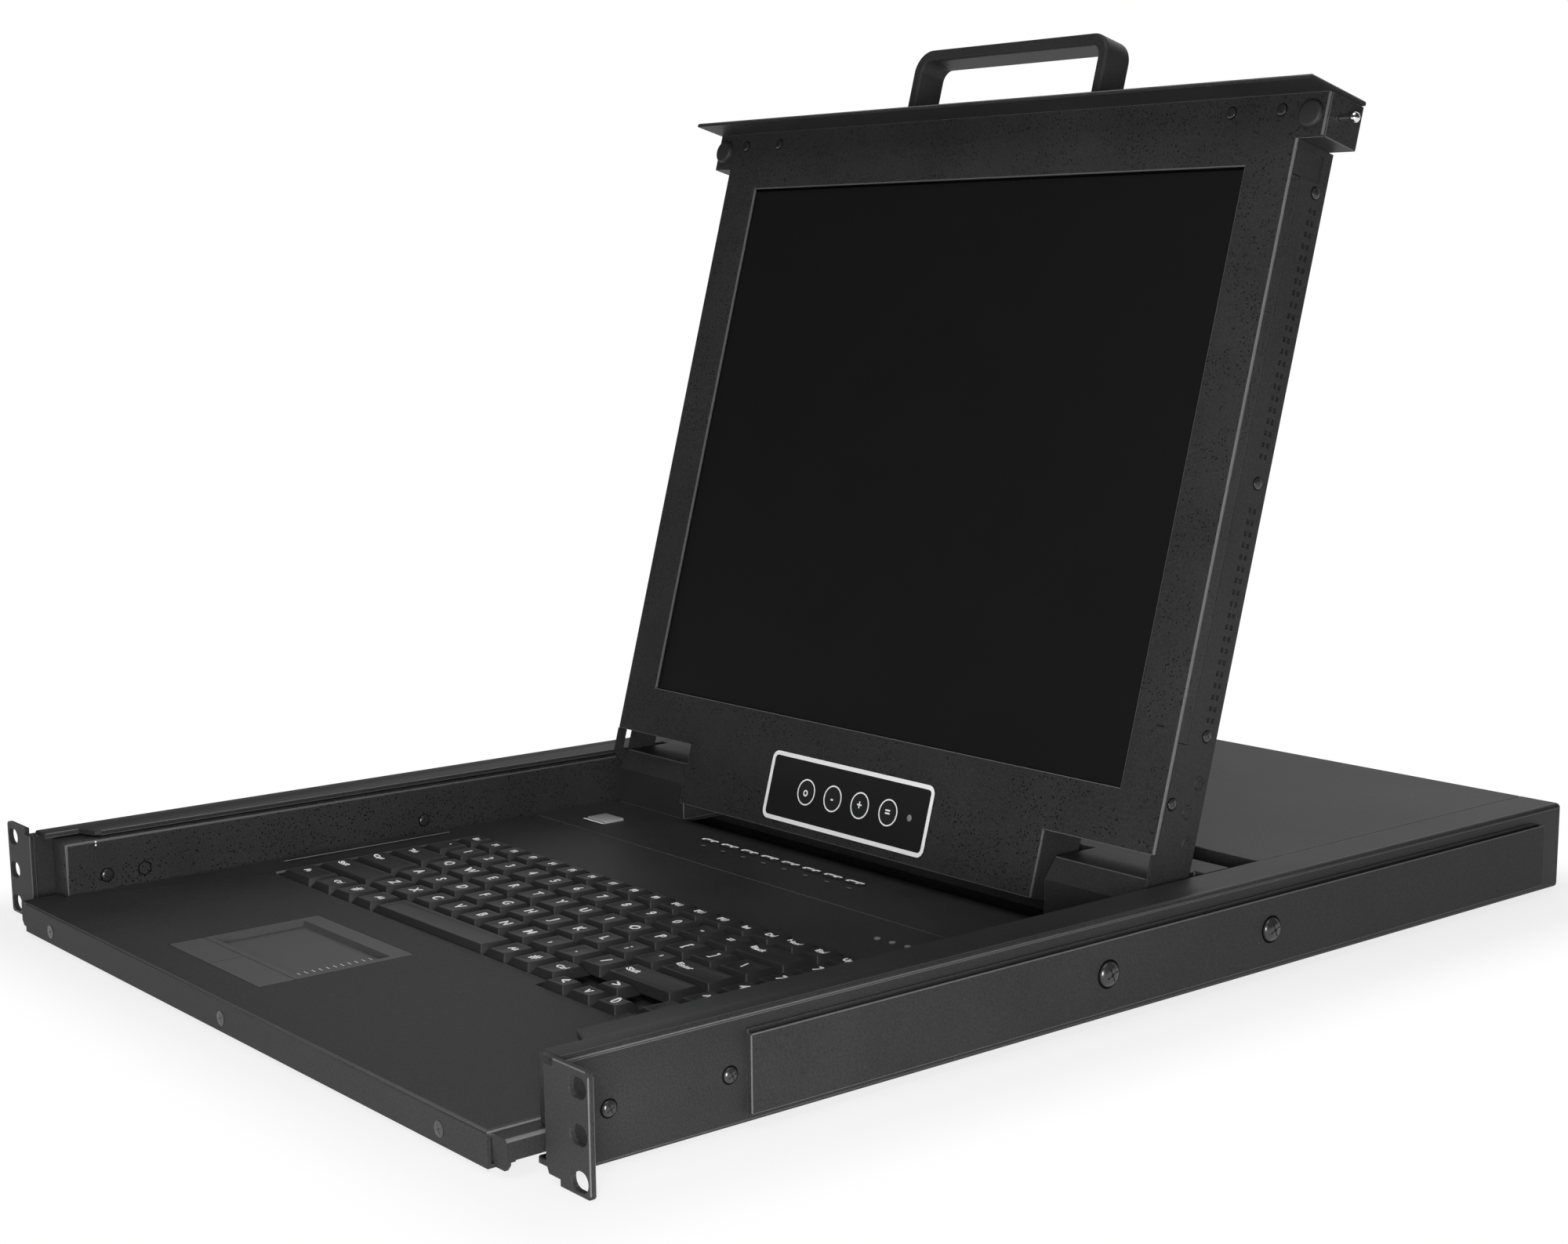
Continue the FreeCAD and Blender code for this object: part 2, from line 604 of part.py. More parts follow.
def row_keys(widths, row, x0=KEYS_X0, unit=U):
    out = []
    x = x0
    y0 = KEYS_Y0 + row * ROW
    for w in widths:
        if w > 0:
            out.append(keycap(x, x + w * unit, y0, y0 + ROW))
        x += abs(w) * unit
    return out


def pad_keys(row, widths=(1, 1, 1, 1)):
    return row_keys(widths, row, x0=KEYS_X1 - 4 * PAD_PITCH - 0.4, unit=PAD_PITCH)


fn_keys = []
for k in range(21):
    fx = KEYS_X0 + k * FN
    fn_keys.append(keycap(fx, fx + FN, KEYS_Y0 + 5 * ROW, KEYS_Y1))
save(group(fn_keys), "keys_function")
save(group(row_keys([1] * 13 + [2], 4) + pad_keys(4)), "keys_numbers")
save(group(row_keys([1.75] + [1] * 12 + [1.25], 3) + pad_keys(3)), "keys_upper")
save(group(row_keys([2] + [1] * 11 + [2], 2) + pad_keys(2)), "keys_home")
save(group(row_keys([2.5] + [1] * 10 + [2.5], 1) + pad_keys(1)), "keys_lower")
bottom = row_keys([1.5, 1, 1, 1], 0)
space_x0 = KEYS_X0 + 4.5 * U
space_x1 = 10.9
small = (ARROW_X0 - space_x1) / 3.0
bottom += row_keys([1, 1, 1], 0, x0=space_x1, unit=small)
aw = (ARROW_X1 - ARROW_X0) / 3.0
for k in range(3):
    bottom.append(keycap(ARROW_X0 + k * aw, ARROW_X0 + (k + 1) * aw, ARROW_Y0, ARROW_MID))
bottom.append(keycap(ARROW_X0 + aw, ARROW_X0 + 2 * aw, ARROW_MID, KEYS_Y0 + ROW))
bottom += pad_keys(0, (2, 1, 1))
save(group(bottom), "keys_bottom")
save(keycap(space_x0, space_x1, KEYS_Y0, KEYS_Y0 + ROW), "space_bar")

bx0, bx1 = KEYS_X0 - 2.5, KEYS_X1 + 2.5
by0, by1 = ARROW_Y0 - 2.5, KEYS_Y1 + 2.5
base = box(bx0, bx1, by0, by1, WELL_FLOOR - 1.5, WELL_FLOOR)
rim = box(bx0, bx1, by0, by1, WELL_FLOOR - 0.1, TRAY_TOP - TRAY_T)
rim = rim.cut(box(bx0 + 1.7, bx1 - 1.7, by0 + 1.7, by1 - 1.7, WELL_FLOOR - 1, TRAY_TOP))
save(fuse([base, rim]), "keyboard_base")


# ---------------------------------------------------------------- touchpad
def touchpad():
    z1 = TRAY_TOP
    g = 0.25
    body = box(PAD_X0 + g, PAD_X1 - g, PAD_Y0 + g, PAD_Y1 - g, z1 - 6.0, z1)
    # recessed pad with sloping walls
    y0, y1 = 27.5, 70.0
    x0, x1 = -83.6, -9.0
    d = 1.9
    top = [V(x0, y0, z1), V(x1, y0, z1), V(x1, y1, z1), V(x0, y1, z1)]
    s = 2.2
    low = [V(x0 + s, y0 + s, z1 - d), V(x1 - s, y0 + s, z1 - d),
           V(x1 - s, y1 - s, z1 - d), V(x0 + s, y1 - s, z1 - d)]
    w1 = Part.makePolygon(top + [top[0]])
    w2 = Part.makePolygon(low + [low[0]])
    recess = Part.makeLoft([w2, w1], True, True)
    well = box(PAD_X0 - 1, PAD_X1 + 1, PAD_Y0 - 1, BUTTON_Y1, z1 - 3.4, z1 + 1)
    return cut(body, [recess, well])


save(touchpad(), "touchpad")
for name, x0, x1 in (("touchpad_button_left", PAD_X0 + 0.3, BUTTON_SPLIT - 0.15),
                     ("touchpad_button_right", BUTTON_SPLIT + 0.15, PAD_X1 - 0.3)):
    save(box(x0, x1, PAD_Y0 + 0.4, BUTTON_Y1 - 0.3, TRAY_TOP - 2.4, TRAY_TOP), name)

# push button by the left wall, and the row of port buttons
power = box(-166.7, -150.5, 276.5, 288.5, TRAY_TOP - 3.0, TRAY_TOP + 1.2)
power = round_edges(power, 0.5, lambda a, b: abs(a.z - TRAY_TOP - 1.2) < 0.02 and abs(b.z - a.z) < 0.02)
save(power, "power_button")
for k in range(PORT_N):
    x = PORT_X0 + k * PORT_PITCH
    key = box(x - 5.9, x + 5.9, PORT_Y - 1.7, PORT_Y + 1.7, TRAY_TOP - 2.6, TRAY_TOP + 0.9)
    save(key, "port_button_%d" % (k + 1))

panel_board = box(-172, 140, 228, 306, -13.0, -11.4)
posts = [rod((x, y, -16.4), (0, 0, 1), 2.5, 3.6) for x in (-165, 132) for y in (234, 300)]
lights = [rod((x, y, -11.5), (0, 0, 1), 0.8, 4.9) for x, y in ((105.4, 239.0), (114.4, 239.6), (123.4, 240.2))]
save(fuse([panel_board] + posts + lights), "panel_board")


# ---------------------------------------------------------------- screen
def screen_front():
    """Front frame: face sheet with the window, tongue and side flanges."""
    face = box(-SCREEN_X, SCREEN_X, BODY_V0, BAR_V1, -SKIN, 0)
    bar_face = box(-BAR_X, BAR_X, BODY_V1, BAR_V1, -SKIN, 0)
    tongue = box(-TONGUE_X, TONGUE_X, TONGUE_V, BODY_V0 + 1, -SKIN, 0)
    parts = [face, bar_face, tongue]
    for s in (-1, 1):
        xa, xb = sorted((s * SCREEN_X, s * (SCREEN_X - SKIN)))
        parts.append(box(xa, xb, SEAM_V, 302.0, SEAM_N, 0))
    parts.append(box(-WINDOW_X - 5, WINDOW_X + 5, WINDOW_V1 + 2, WINDOW_V1 + 3.2, SEAM_N, 0))
    body = fuse(parts)
    tools = [box(-WINDOW_X, WINDOW_X, WINDOW_V0, WINDOW_V1, -8, 1)]
    for x in OSD_X:
        tools.append(rod((x, OSD_V, -5), (0, 0, 1), OSD_R + 0.35, 8))
    tools.append(rod((43.7, OSD_V, -5), (0, 0, 1), 1.3, 8))
    for x in BAR_SCREWS:
        tools.append(rod((x, BAR_SCREW_V, -5), (0, 0, 1), 1.5, 8))
    body = cut(body, tools)
    body = round_edges(body, 1.0, lambda a, b: (
        abs(a.z) < 0.02 and abs(b.z) < 0.02 and abs(a.x - b.x) < 0.02
        and (abs(abs(a.x) - SCREEN_X) < 0.02 or abs(abs(a.x) - BAR_X) < 0.02)))
    return body


save(on_screen(screen_front()), "screen_front_frame")


def side_plate_outline():
    """Outline in v, n of the lower part of the screen's side plate."""
    pts = [(BODY_V0 + 2, 0), (-1.0, 0)]
    r = 9.2
    for k in range(13):
        ang = math.radians(60 + k * 15)
        pts.append((AXIS_V - r * math.sin(ang), AXIS_N + r * math.cos(ang)))
    pts.append((6.0, -SCREEN_T))
    pts.append((BODY_V0 + 2, -SCREEN_T))
    return pts


def screen_back():
    """Rear shell: back sheet, sides, tongue box and the two pivot plates."""
    n0 = -SCREEN_T
    back = box(-SCREEN_X, SCREEN_X, BODY_V0, BODY_V1 - 0.2, n0, n0 + SKIN)
    tongue = box(-TONGUE_X, TONGUE_X, TONGUE_V, BODY_V0 + 1, n0, n0 + SKIN)
    parts = [back, tongue]
    parts.append(box(-TONGUE_X, TONGUE_X, TONGUE_V, TONGUE_V + SKIN, n0, -SKIN - 0.1))
    for s in (-1, 1):
        xa, xb = sorted((s * SCREEN_X, s * (SCREEN_X - SKIN)))
        parts.append(box(xa, xb, SEAM_V - 0.2, BODY_V1 - 0.2, n0, SEAM_N - 0.2))
        parts.append(box(xa, xb, BODY_V0, SEAM_V - 0.2, n0, -SKIN - 0.1))
        parts.append(box(xa, xb, 302.3, BODY_V1 - 0.2, n0, -SKIN - 0.1))
        xa, xb = sorted((s * TONGUE_X, s * (TONGUE_X - SKIN)))
        parts.append(box(xa, xb, TONGUE_V, BODY_V0 + 1.4, n0, -SKIN - 0.1))
        xa, xb = sorted((s * (TONGUE_X - SKIN), s * (SCREEN_X - 0.5)))
        parts.append(box(xa, xb, BODY_V0, BODY_V0 + SKIN, n0, -SKIN - 0.1))
        pts = [V(s * (SCREEN_X - SKIN), v, n) for v, n in side_plate_outline()]
        face = Part.Face(Part.makePolygon(pts + [pts[0]]))
        plate = face.extrude(V(s * SKIN, 0, 0))
        plate = plate.cut(box(-300, 300, BODY_V0, BODY_V0 + 10, -SKIN - 0.1, 1))
        parts.append(plate)
    parts.append(box(-SCREEN_X, SCREEN_X, BODY_V1 - 0.2 - SKIN, BODY_V1 - 0.2, n0, -SKIN - 0.1))
    body = fuse(parts)
    tools = []
    for s in (-1, 1):
        tools.append(rod((s * (SCREEN_X - 4), AXIS_V, AXIS_N), (s, 0, 0), SHAFT_R, 8))
        # vents: pairs of small slots up both sides, and the shallow step above them
        for v in VENTS:
            for n in (-17.3, -20.3):
                xa, xb = sorted((s * (SCREEN_X - 3), s * (SCREEN_X + 1)))
                tools.append(box(xa, xb, v - 1.1, v + 1.1, n - 0.9, n + 0.9))
        xa, xb = sorted((s * (SCREEN_X - 0.5), s * (SCREEN_X + 1)))
        tools.append(box(xa, xb, 302.6, 314.0, -19.5, -5.8))
    # slit in the left pivot plate
    tools.append(box(-SCREEN_X - 1, -SCREEN_X + 3, 1.1, BODY_V0 - 0.2, -8.9, -4.8))
    return cut(body, tools)


save(on_screen(screen_back()), "screen_back_shell")


def hinge_arm():
    """Moving half of the friction hinge: arm riveted inside the side plate, with its shaft."""
    x1 = SCREEN_X - SKIN
    x0 = x1 - 1.6
    pts = [(52.0, -11.0), (52.0, -23.4), (BODY_V0 + 1.6, -23.4)]
    arm_hi = [V(x0, v, n) for v, n in pts + [(BODY_V0 + 1.6, -11.0)]]
    upper = Part.Face(Part.makePolygon(arm_hi + [arm_hi[0]])).extrude(V(1.6, 0, 0))
    shaft = rod((150.0, AXIS_V, AXIS_N), (1, 0, 0), SHAFT_R, SCREEN_X - 150.0)
    disc = rod((x1 - 1.2, AXIS_V, AXIS_N), (1, 0, 0), 7.5, 1.2)
    return [upper, fuse([shaft, disc])]


arm = hinge_arm()
arms = []
for piece in arm:
    arms += [piece, mirror_x(piece)]
save(group([on_screen(p) for p in arms]), "hinge_arms")

module = box(-172.0, 172.0, 31.0, 304.5, -14.0, -SKIN - 0.3)
module = round_edges(module, 0.8, lambda a, b: abs(a.z + 14.0) < 0.02 and abs(b.z + 14.0) < 0.02)
save(on_screen(module), "screen_panel")
driver = box(-110.0, 60.0, 120.0, 220.0, -20.0, -18.4)
parts = [driver]
for x in (-100.0, 50.0):
    for v in (128.0, 212.0):
        parts.append(rod((x, v, -23.5), (0, 0, 1), 3.0, 3.6))
for k in range(3):
    parts.append(box(-90.0 + 45 * k, -70.0 + 45 * k, 150, 170, -18.5, -16.0))
save(on_screen(fuse(parts)), "screen_driver_board")


def top_bar():
    """Box behind the wide top of the front sheet, open towards it."""
    outer = box(-BAR_X, BAR_X, BODY_V1, BAR_V1, -BAR_T, -SKIN - 0.05)
    inner = box(-BAR_X + SKIN, BAR_X - SKIN, BODY_V1 + SKIN, BAR_V1 - SKIN, -BAR_T + SKIN, 1)
    tools = [inner]
    for s in (-1, 1):
        tools.append(rod((s * (BAR_X - 5), PIN_V, PIN_N), (s, 0, 0), PIN_R + 0.06, 10))
    return cut(outer, tools)


save(on_screen(top_bar()), "top_bar")


def pin_guide(s):
    """Bracket screwed behind the bar's front; its two tabs carry a latch pin."""
    v0, v1 = BODY_V1 + SKIN + 1.2, BAR_V1 - SKIN - 0.8
    n0 = -SKIN - 0.05
    parts = []
    for x0, x1, depth in ((148.0, 188.5, 1.5), (148.0, 149.5, 13.0), (187.0, 188.5, 13.0)):
        xa, xb = sorted((s * x0, s * x1))
        parts.append(box(xa, xb, v0, v1, n0 - depth, n0))
    tools = [rod((s * 140, PIN_V, PIN_N), (s, 0, 0), PIN_R + 0.06, 60)]
    for x in BAR_SCREWS:
        tools.append(rod((x, BAR_SCREW_V, -6), (0, 0, 1), 1.5, 8))
    return cut(fuse(parts), tools)


def latch_pin():
    shaft = rod((144.0, PIN_V, PIN_N), (1, 0, 0), PIN_R, PIN_OUT - 2 - 144.0)
    head = rod((PIN_OUT - 3.6, PIN_V, PIN_N), (1, 0, 0), PIN_HEAD_R, 2.4)
    nose = Part.makeCone(PIN_HEAD_R, 1.2, 1.2, V(PIN_OUT - 1.2, PIN_V, PIN_N), V(1, 0, 0))
    # collar the spring pushes on, held by the outer tab
    collar = rod((184.9, PIN_V, PIN_N), (1, 0, 0), 3.0, 2.0)
    return fuse([shaft, head, nose, collar])


save(on_screen(latch_pin()), "latch_pin_right")
save(on_screen(mirror_x(latch_pin())), "latch_pin_left")
save(group([on_screen(pin_guide(s)) for s in (-1, 1)]), "latch_guides")

fascia = box(-FASCIA_X, FASCIA_X, BAR_V1, BAR_V1 + FASCIA_T, FASCIA_N0, FASCIA_N1)
fascia = round_edges(fascia, 0.9, lambda a, b: (
    abs(a.y - BAR_V1 - FASCIA_T) < 0.02 and abs(b.y - BAR_V1 - FASCIA_T) < 0.02))
save(on_screen(fascia), "fascia")


def handle():
    v0 = BAR_V1 + FASCIA_T
    outer = box(-HANDLE_X, HANDLE_X, v0, HANDLE_V, HANDLE_N0, HANDLE_N1)
    outer = round_edges(outer, 11.0, lambda a, b: (
        abs(a.y - HANDLE_V) < 0.02 and abs(b.y - HANDLE_V) < 0.02
        and abs(abs(a.x) - HANDLE_X) < 0.02 and abs(a.x - b.x) < 0.02))
    t = HANDLE_T
    gap = box(-HANDLE_X + t, HANDLE_X - t, v0 - 1, HANDLE_V - t, HANDLE_N0 - 1, HANDLE_N1 + 1)
    gap = round_edges(gap, 5.5, lambda a, b: (
        abs(a.y - HANDLE_V + t) < 0.02 and abs(b.y - HANDLE_V + t) < 0.02
        and abs(abs(a.x) - HANDLE_X + t) < 0.02 and abs(a.x - b.x) < 0.02))
    body = outer.cut(gap)
    rim = [e for e in body.Edges if abs(e.BoundBox.ZMin - e.BoundBox.ZMax) < 0.01
           and abs(e.BoundBox.ZMin - HANDLE_N1) < 0.02 and e.BoundBox.YMax > v0 + 0.1]
    rim += [e for e in body.Edges if abs(e.BoundBox.ZMin - e.BoundBox.ZMax) < 0.01
            and abs(e.BoundBox.ZMin - HANDLE_N0) < 0.02 and e.BoundBox.YMax > v0 + 0.1]
    return body.makeFillet(1.6, rim)


save(on_screen(handle()), "handle")

bumpers = []
for s in (-1, 1):
    foot = rod((s * 198.2, 326.2, 0), (0, 0, 1), 5.8, 1.9)
    tip = Part.makeCone(5.8, 5.0, 0.8, V(s * 198.2, 326.2, 1.9), V(0, 0, 1))
    bumpers.append(on_screen(fuse([foot, tip])))
save(group(bumpers), "bumpers")


# ---------------------------------------------------------------- screen buttons
def osd_overlay():
    film = box(-61.1, 57.6, -14.0, 20.3, 0, 0.3)
    film = round_edges(film, 4.0, lambda a, b: abs(a.z - b.z) > 0.2)
    tools = [rod((x, OSD_V, -1), (0, 0, 1), OSD_R + 0.35, 3) for x in OSD_X]
    tools.append(rod((43.7, OSD_V, -1), (0, 0, 1), 1.3, 3))
    return cut(film, tools)


save(on_screen(osd_overlay()), "osd_overlay")
for k, x in enumerate(OSD_X):
    b = rod((x, OSD_V, -1.4), (0, 0, 1), OSD_R, 2.0)
    save(on_screen(b), "osd_button_%d" % (k + 1))

osd_board = box(-58, 54, -10, 16, -5.2, -3.6)
osd_light = rod((43.7, OSD_V, -3.7), (0, 0, 1), 1.2, 3.9)
osd_posts = [rod((x, 14.0 - 20 * k, -3.7), (0, 0, 1), 1.5, 2.1) for x in (-52, 50) for k in (0, 1)]
save(on_screen(fuse([osd_board, osd_light] + osd_posts)), "osd_board")

screen_screws = []
for s in (-1, 1):
    for v, n in ((298.4, -18.3), (174.1, -18.4), (65.6, -18.5), (34.9, -5.1)):
        b = rod((SCREEN_X, v, n), (1, 0, 0), 2.5, 0.9)
        screen_screws.append(b if s > 0 else mirror_x(b))
    for v, n in ((45.7, -19.7), (32.8, -15.8), (19.6, -19.6)):
        b = rod((SCREEN_X, v, n), (1, 0, 0), 3.3, 0.4)
        screen_screws.append(b if s > 0 else mirror_x(b))
for x in BAR_SCREWS:
    head = rod((x, BAR_SCREW_V, 0), (0, 0, 1), 2.5, 0.9)
    shank = rod((x, BAR_SCREW_V, -4), (0, 0, 1), 1.4, 4.1)
    screen_screws.append(fuse([head, shank]))
save(group([on_screen(s) for s in screen_screws]), "screen_screws")
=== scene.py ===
import json
import math

import bmesh
import bpy
from bpy.props import FloatProperty, FloatVectorProperty, IntProperty, PointerProperty
from mathutils import Matrix, Quaternion, Vector
from mathutils.bvhtree import BVHTree


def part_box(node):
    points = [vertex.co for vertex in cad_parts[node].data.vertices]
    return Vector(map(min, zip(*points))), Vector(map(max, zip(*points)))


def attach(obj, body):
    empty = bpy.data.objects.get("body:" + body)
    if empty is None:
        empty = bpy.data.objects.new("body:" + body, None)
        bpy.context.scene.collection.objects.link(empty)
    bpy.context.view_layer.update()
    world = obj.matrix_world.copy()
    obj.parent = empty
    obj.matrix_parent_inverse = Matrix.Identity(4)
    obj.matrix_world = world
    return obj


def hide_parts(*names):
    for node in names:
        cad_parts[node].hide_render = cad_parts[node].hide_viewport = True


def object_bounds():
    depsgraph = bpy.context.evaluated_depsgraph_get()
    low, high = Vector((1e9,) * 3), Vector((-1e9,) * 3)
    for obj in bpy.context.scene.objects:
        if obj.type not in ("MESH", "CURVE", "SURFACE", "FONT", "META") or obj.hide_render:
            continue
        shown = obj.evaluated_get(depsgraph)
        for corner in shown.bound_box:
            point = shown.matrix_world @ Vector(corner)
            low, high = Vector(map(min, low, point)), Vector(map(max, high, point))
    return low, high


bl_info = {
    "name": "Rack Console Drawer",
    "version": (1, 0, 0),
    "blender": (4, 5, 0),
    "location": "View3D > Sidebar > Console Drawer",
    "description": "Finishes a rack drawer with keyboard, touchpad and folding screen",
    "category": "Add Mesh",
}

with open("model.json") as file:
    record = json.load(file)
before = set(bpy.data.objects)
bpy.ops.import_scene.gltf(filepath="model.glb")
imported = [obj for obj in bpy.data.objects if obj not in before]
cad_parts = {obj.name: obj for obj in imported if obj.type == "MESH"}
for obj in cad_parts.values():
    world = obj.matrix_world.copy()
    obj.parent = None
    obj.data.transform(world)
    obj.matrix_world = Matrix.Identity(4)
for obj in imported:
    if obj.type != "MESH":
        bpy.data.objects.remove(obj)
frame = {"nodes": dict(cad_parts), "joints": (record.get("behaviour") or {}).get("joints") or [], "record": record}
CAD_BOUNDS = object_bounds()
NODES = frame["nodes"]
HINGE = next(j for j in frame["joints"] if j["name"] == "screen_hinge")
MM = 0.001

# the screen's own directions: up its face and out of its face
LEAN = math.radians(HINGE["range_deg"][1] - 90.0)
UP = Vector((0.0, math.sin(LEAN), math.cos(LEAN)))
OUT = Vector((0.0, -math.cos(LEAN), math.sin(LEAN)))
AXIS = Vector(HINGE["pos_m"])
# the hinge axis as seen from the middle of the face's bottom line
AXIS_UP, AXIS_OUT = -3.35 * MM, -17.04 * MM
FACE_ORIGIN = AXIS - UP * AXIS_UP - OUT * AXIS_OUT
SCREEN_TURN = Matrix(((1, 0, 0), UP, OUT)).transposed().to_4x4()
ON_SCREEN = Matrix.Translation(FACE_ORIGIN) @ SCREEN_TURN

# the finishes by name, filled by the first operator
MATERIALS = {}

# the sheet metal of each body, the sheets that keep sharp edges and the speckled ones
SHEET_METAL = {
    "chassis": ("side_rail_right", "side_rail_left", "side_channels", "rear_cover", "rear_pan"),
    "drawer": ("drawer_tray", "drawer_wall_right", "drawer_wall_left", "hinge_cover"),
    "screen": ("screen_front_frame", "screen_back_shell", "top_bar", "fascia"),
}
THIN_SHEET = ("drawer_tray", "screen_back_shell", "fascia")
SPECKLED = ("screen_front_frame", "top_bar", "drawer_wall_left", "drawer_wall_right")

# angles in degrees over which neighbouring faces meet in an edge
EDGE_ANGLE = 35.0
FOLD_ANGLE = 20.0

# faces below this area, or below this share of their rim squared, are shaded smooth
SMALL_FACE = 50 * MM ** 2
THIN_FACE = 0.002

# a fold's strip is at least this long and at most this wide
STRIP_LENGTH = 15 * MM
STRIP_WIDTH = 1.3 * MM

# a finish's broad patches per metre, the spacing of its pits in millimetres, the loose
# patches per metre that the pits gather in, and the level above which those show
PATCHES = 22.0
PIT_SPACING = 1.7
PIT_PATCHES = 42.0
PIT_LEVEL = 0.47

# how deep a print reaches into the face that it lies on
PRINT_ROOT = 0.05 * MM

# edges sharper than this are rounded, where the faces beside them are this many
# roundings deep
SHARP_ANGLE = math.radians(40.0)
DEEP_ENOUGH = 2.1

# a key wider than this has its legend near the left end, this far in
WIDE_KEY = 22.0 * MM
LEGEND_X = 8.0 * MM
# what stays bare beside a legend, how thick and heavy it is, and how far it stands out
# of the dished top and reaches into it
LEGEND_EDGE = 0.3 * MM
LEGEND_DEPTH = 0.1 * MM
LEGEND_WEIGHT = 0.17 * MM
LEGEND_LIFT = 0.05 * MM
LEGEND_SINK = 0.1 * MM
# a legend of more than one letter is this much smaller
WORD_SIZE = 0.62
KEY_ROUNDING = 0.45 * MM

# screws further out than these stand in the drawer's walls and in the screen's sides
WALL_SCREW_X = 0.19
SIDE_SCREW_X = 0.185
# heights of the heads: small and large in the rails, in the walls, in the tray's lip and
# in the top bar
LARGE_SCREW = 4 * MM
RAIL_HEADS = (1.5 * MM, 2.4 * MM)
WALL_HEAD = 1.2 * MM
LIP_HEAD = 0.25 * MM
BAR_HEAD = 0.9 * MM
# in the screen's sides a head lower than this is a flat rivet
RIVET_HEIGHT = 0.6 * MM
SIDE_SCREW = 2.5 * MM

# legends from left to right
KEY_ROWS = {
    "keys_function": ["Esc"] + ["F%d" % k for k in range(1, 13)]
                     + ["Ins", "Del", "Home", "End", "Up", "Dn", "Num", "Off"],
    "keys_numbers": list("`1234567890-=") + ["Back"] + list("7/*-"),
    "keys_upper": ["Tab"] + list("QWERTYUIOP[]") + list("\\789+"),
    "keys_home": ["Caps"] + list("ASDFGHJKL;'") + ["Enter"] + list("456+"),
    "keys_lower": ["Shift"] + list("ZXCVBNM,./") + ["Shift"] + list("^123"),
    "keys_bottom": ["Fn", "Ctrl", "#", "Alt", "Alt", "#", "Ctrl"] + list("<v>0.+="),
}

# the screen's button strip, in millimetres from the middle of the face's bottom line;
# STRIP_FACE and BUTTON_TOP are levels above the screen's face
STRIP_MIDDLE = (-1.75, 3.15)
STRIP_HALF = (59.0, 16.9)
STRIP_CORNER = 4.2
STRIP_LINE = 2.1
STRIP_FACE = 0.3
BUTTON_X = (-31.1, -11.3, 8.6, 28.8)
BUTTON_V = 3.1
BUTTON_TOP = 0.6
BUTTON_RING = 6.45
BUTTON_LINE = 0.7
BUTTON_SIGN = 6.5
BUTTON_SIGNS = ("o", "-", "+", "=")
INDICATOR_X = 43.7

# marks on the deck and on the left wall, in millimetres
SCROLL_X = (-18.6, -15.4)
SCROLL_Y = (32.0, 65.0)
SCROLL_SINK = 1.9
PORTS = range(1, 9)
PORT_SIGN_X = 5.6
PORT_SIGN_Y = (283.3, 284.6)
PUSH_SIGN_X = (-166.0, -148.5)
PUSH_SIGN_Y = (273.4, 274.8)
INDICATORS = ((105.4, 239.0), (114.4, 239.6), (123.4, 240.2))
BEAD_X = (-185.9, -185.0)
BEAD_Y = (113.0, 205.0)
WALL_X = -195.9
STUD_YZ = (47.2, -0.3)
DOTS_YZ = ((24.2, 14.4), (24.2, 15.9))

# latch pins and bumpers, in millimetres
PIN_COLLAR_X = (184.9, 186.9)
BUMPER_X = 198.2
BUMPER_V = 326.2

# name, place, aim, disk size and watts of each lamp
LAMPS = (
    ("key_lamp", (0.15, -0.05, 1.5), (0.0, 0.1, 0.0), 1.2, 10.0),
    ("side_lamp", (0.78, -0.42, 0.14), (0.2, -0.02, 0.0), 0.35, 10.0),
    ("back_lamp", (-0.6, 2.2, 1.6), (0.0, 0.2, 0.1), 1.6, 7.0),
)
# where the camera stands, the way it looks, its roll, its lens and its shift
CAMERA_PLACE = (0.8485, -0.4097, 0.2730)
CAMERA_AIM = (-0.74925, 0.63762, -0.17904)
CAMERA_ROLL = math.radians(-0.305)
CAMERA_LENS = 55.07
CAMERA_SHIFT = (-0.0400, 0.0544)

# the floor's half side and its gap under the drawer, the share of white it keeps next to the drawer, where it is
# painted greyer, and from what distance it is fully white
FLOOR_HALF = 6.0
FLOOR_GAP = 0.2 * MM
FLOOR_SHADE = 0.78
FLOOR_REACH = 55 * MM
# the white backdrop lies this way, and the room in front of the drawer is dim
BACKDROP_WAY = (-0.5, 0.866, 0.0)
BACKDROP_LIGHT = 0.78
ROOM_LIGHT = 0.05


# ------------------------------------------------------------ shader sockets
class Shade:
    """A material socket. Sums and products of it add Math nodes."""

    def __init__(self, tree, socket=None):
        self.tree = tree
        self.socket = socket

    def node(self, kind, inputs=None, out=0, **settings):
        """A node of one kind: its settings are set first, then its sockets."""
        made = self.tree.nodes.new(kind)
        for name, value in settings.items():
            setattr(made, name, value)
        for name, value in (inputs or {}).items():
            if isinstance(value, Shade):
                self.tree.links.new(value.socket, made.inputs[name])
            else:
                made.inputs[name].default_value = value
        return Shade(self.tree, made.outputs[out])

    def math(self, operation, a, b):
        return self.node("ShaderNodeMath", {0: a, 1: b}, operation=operation)

    def __add__(self, other):
        return self.math("ADD", self, other)

    __radd__ = __add__

    def __sub__(self, other):
        return self.math("SUBTRACT", self, other)

    def __rsub__(self, other):
        return self.math("SUBTRACT", other, self)

    def __mul__(self, other):
        return self.math("MULTIPLY", self, other)

    __rmul__ = __mul__

    def __lt__(self, other):
        return self.math("LESS_THAN", self, other)

    def __gt__(self, other):
        return self.math("GREATER_THAN", self, other)


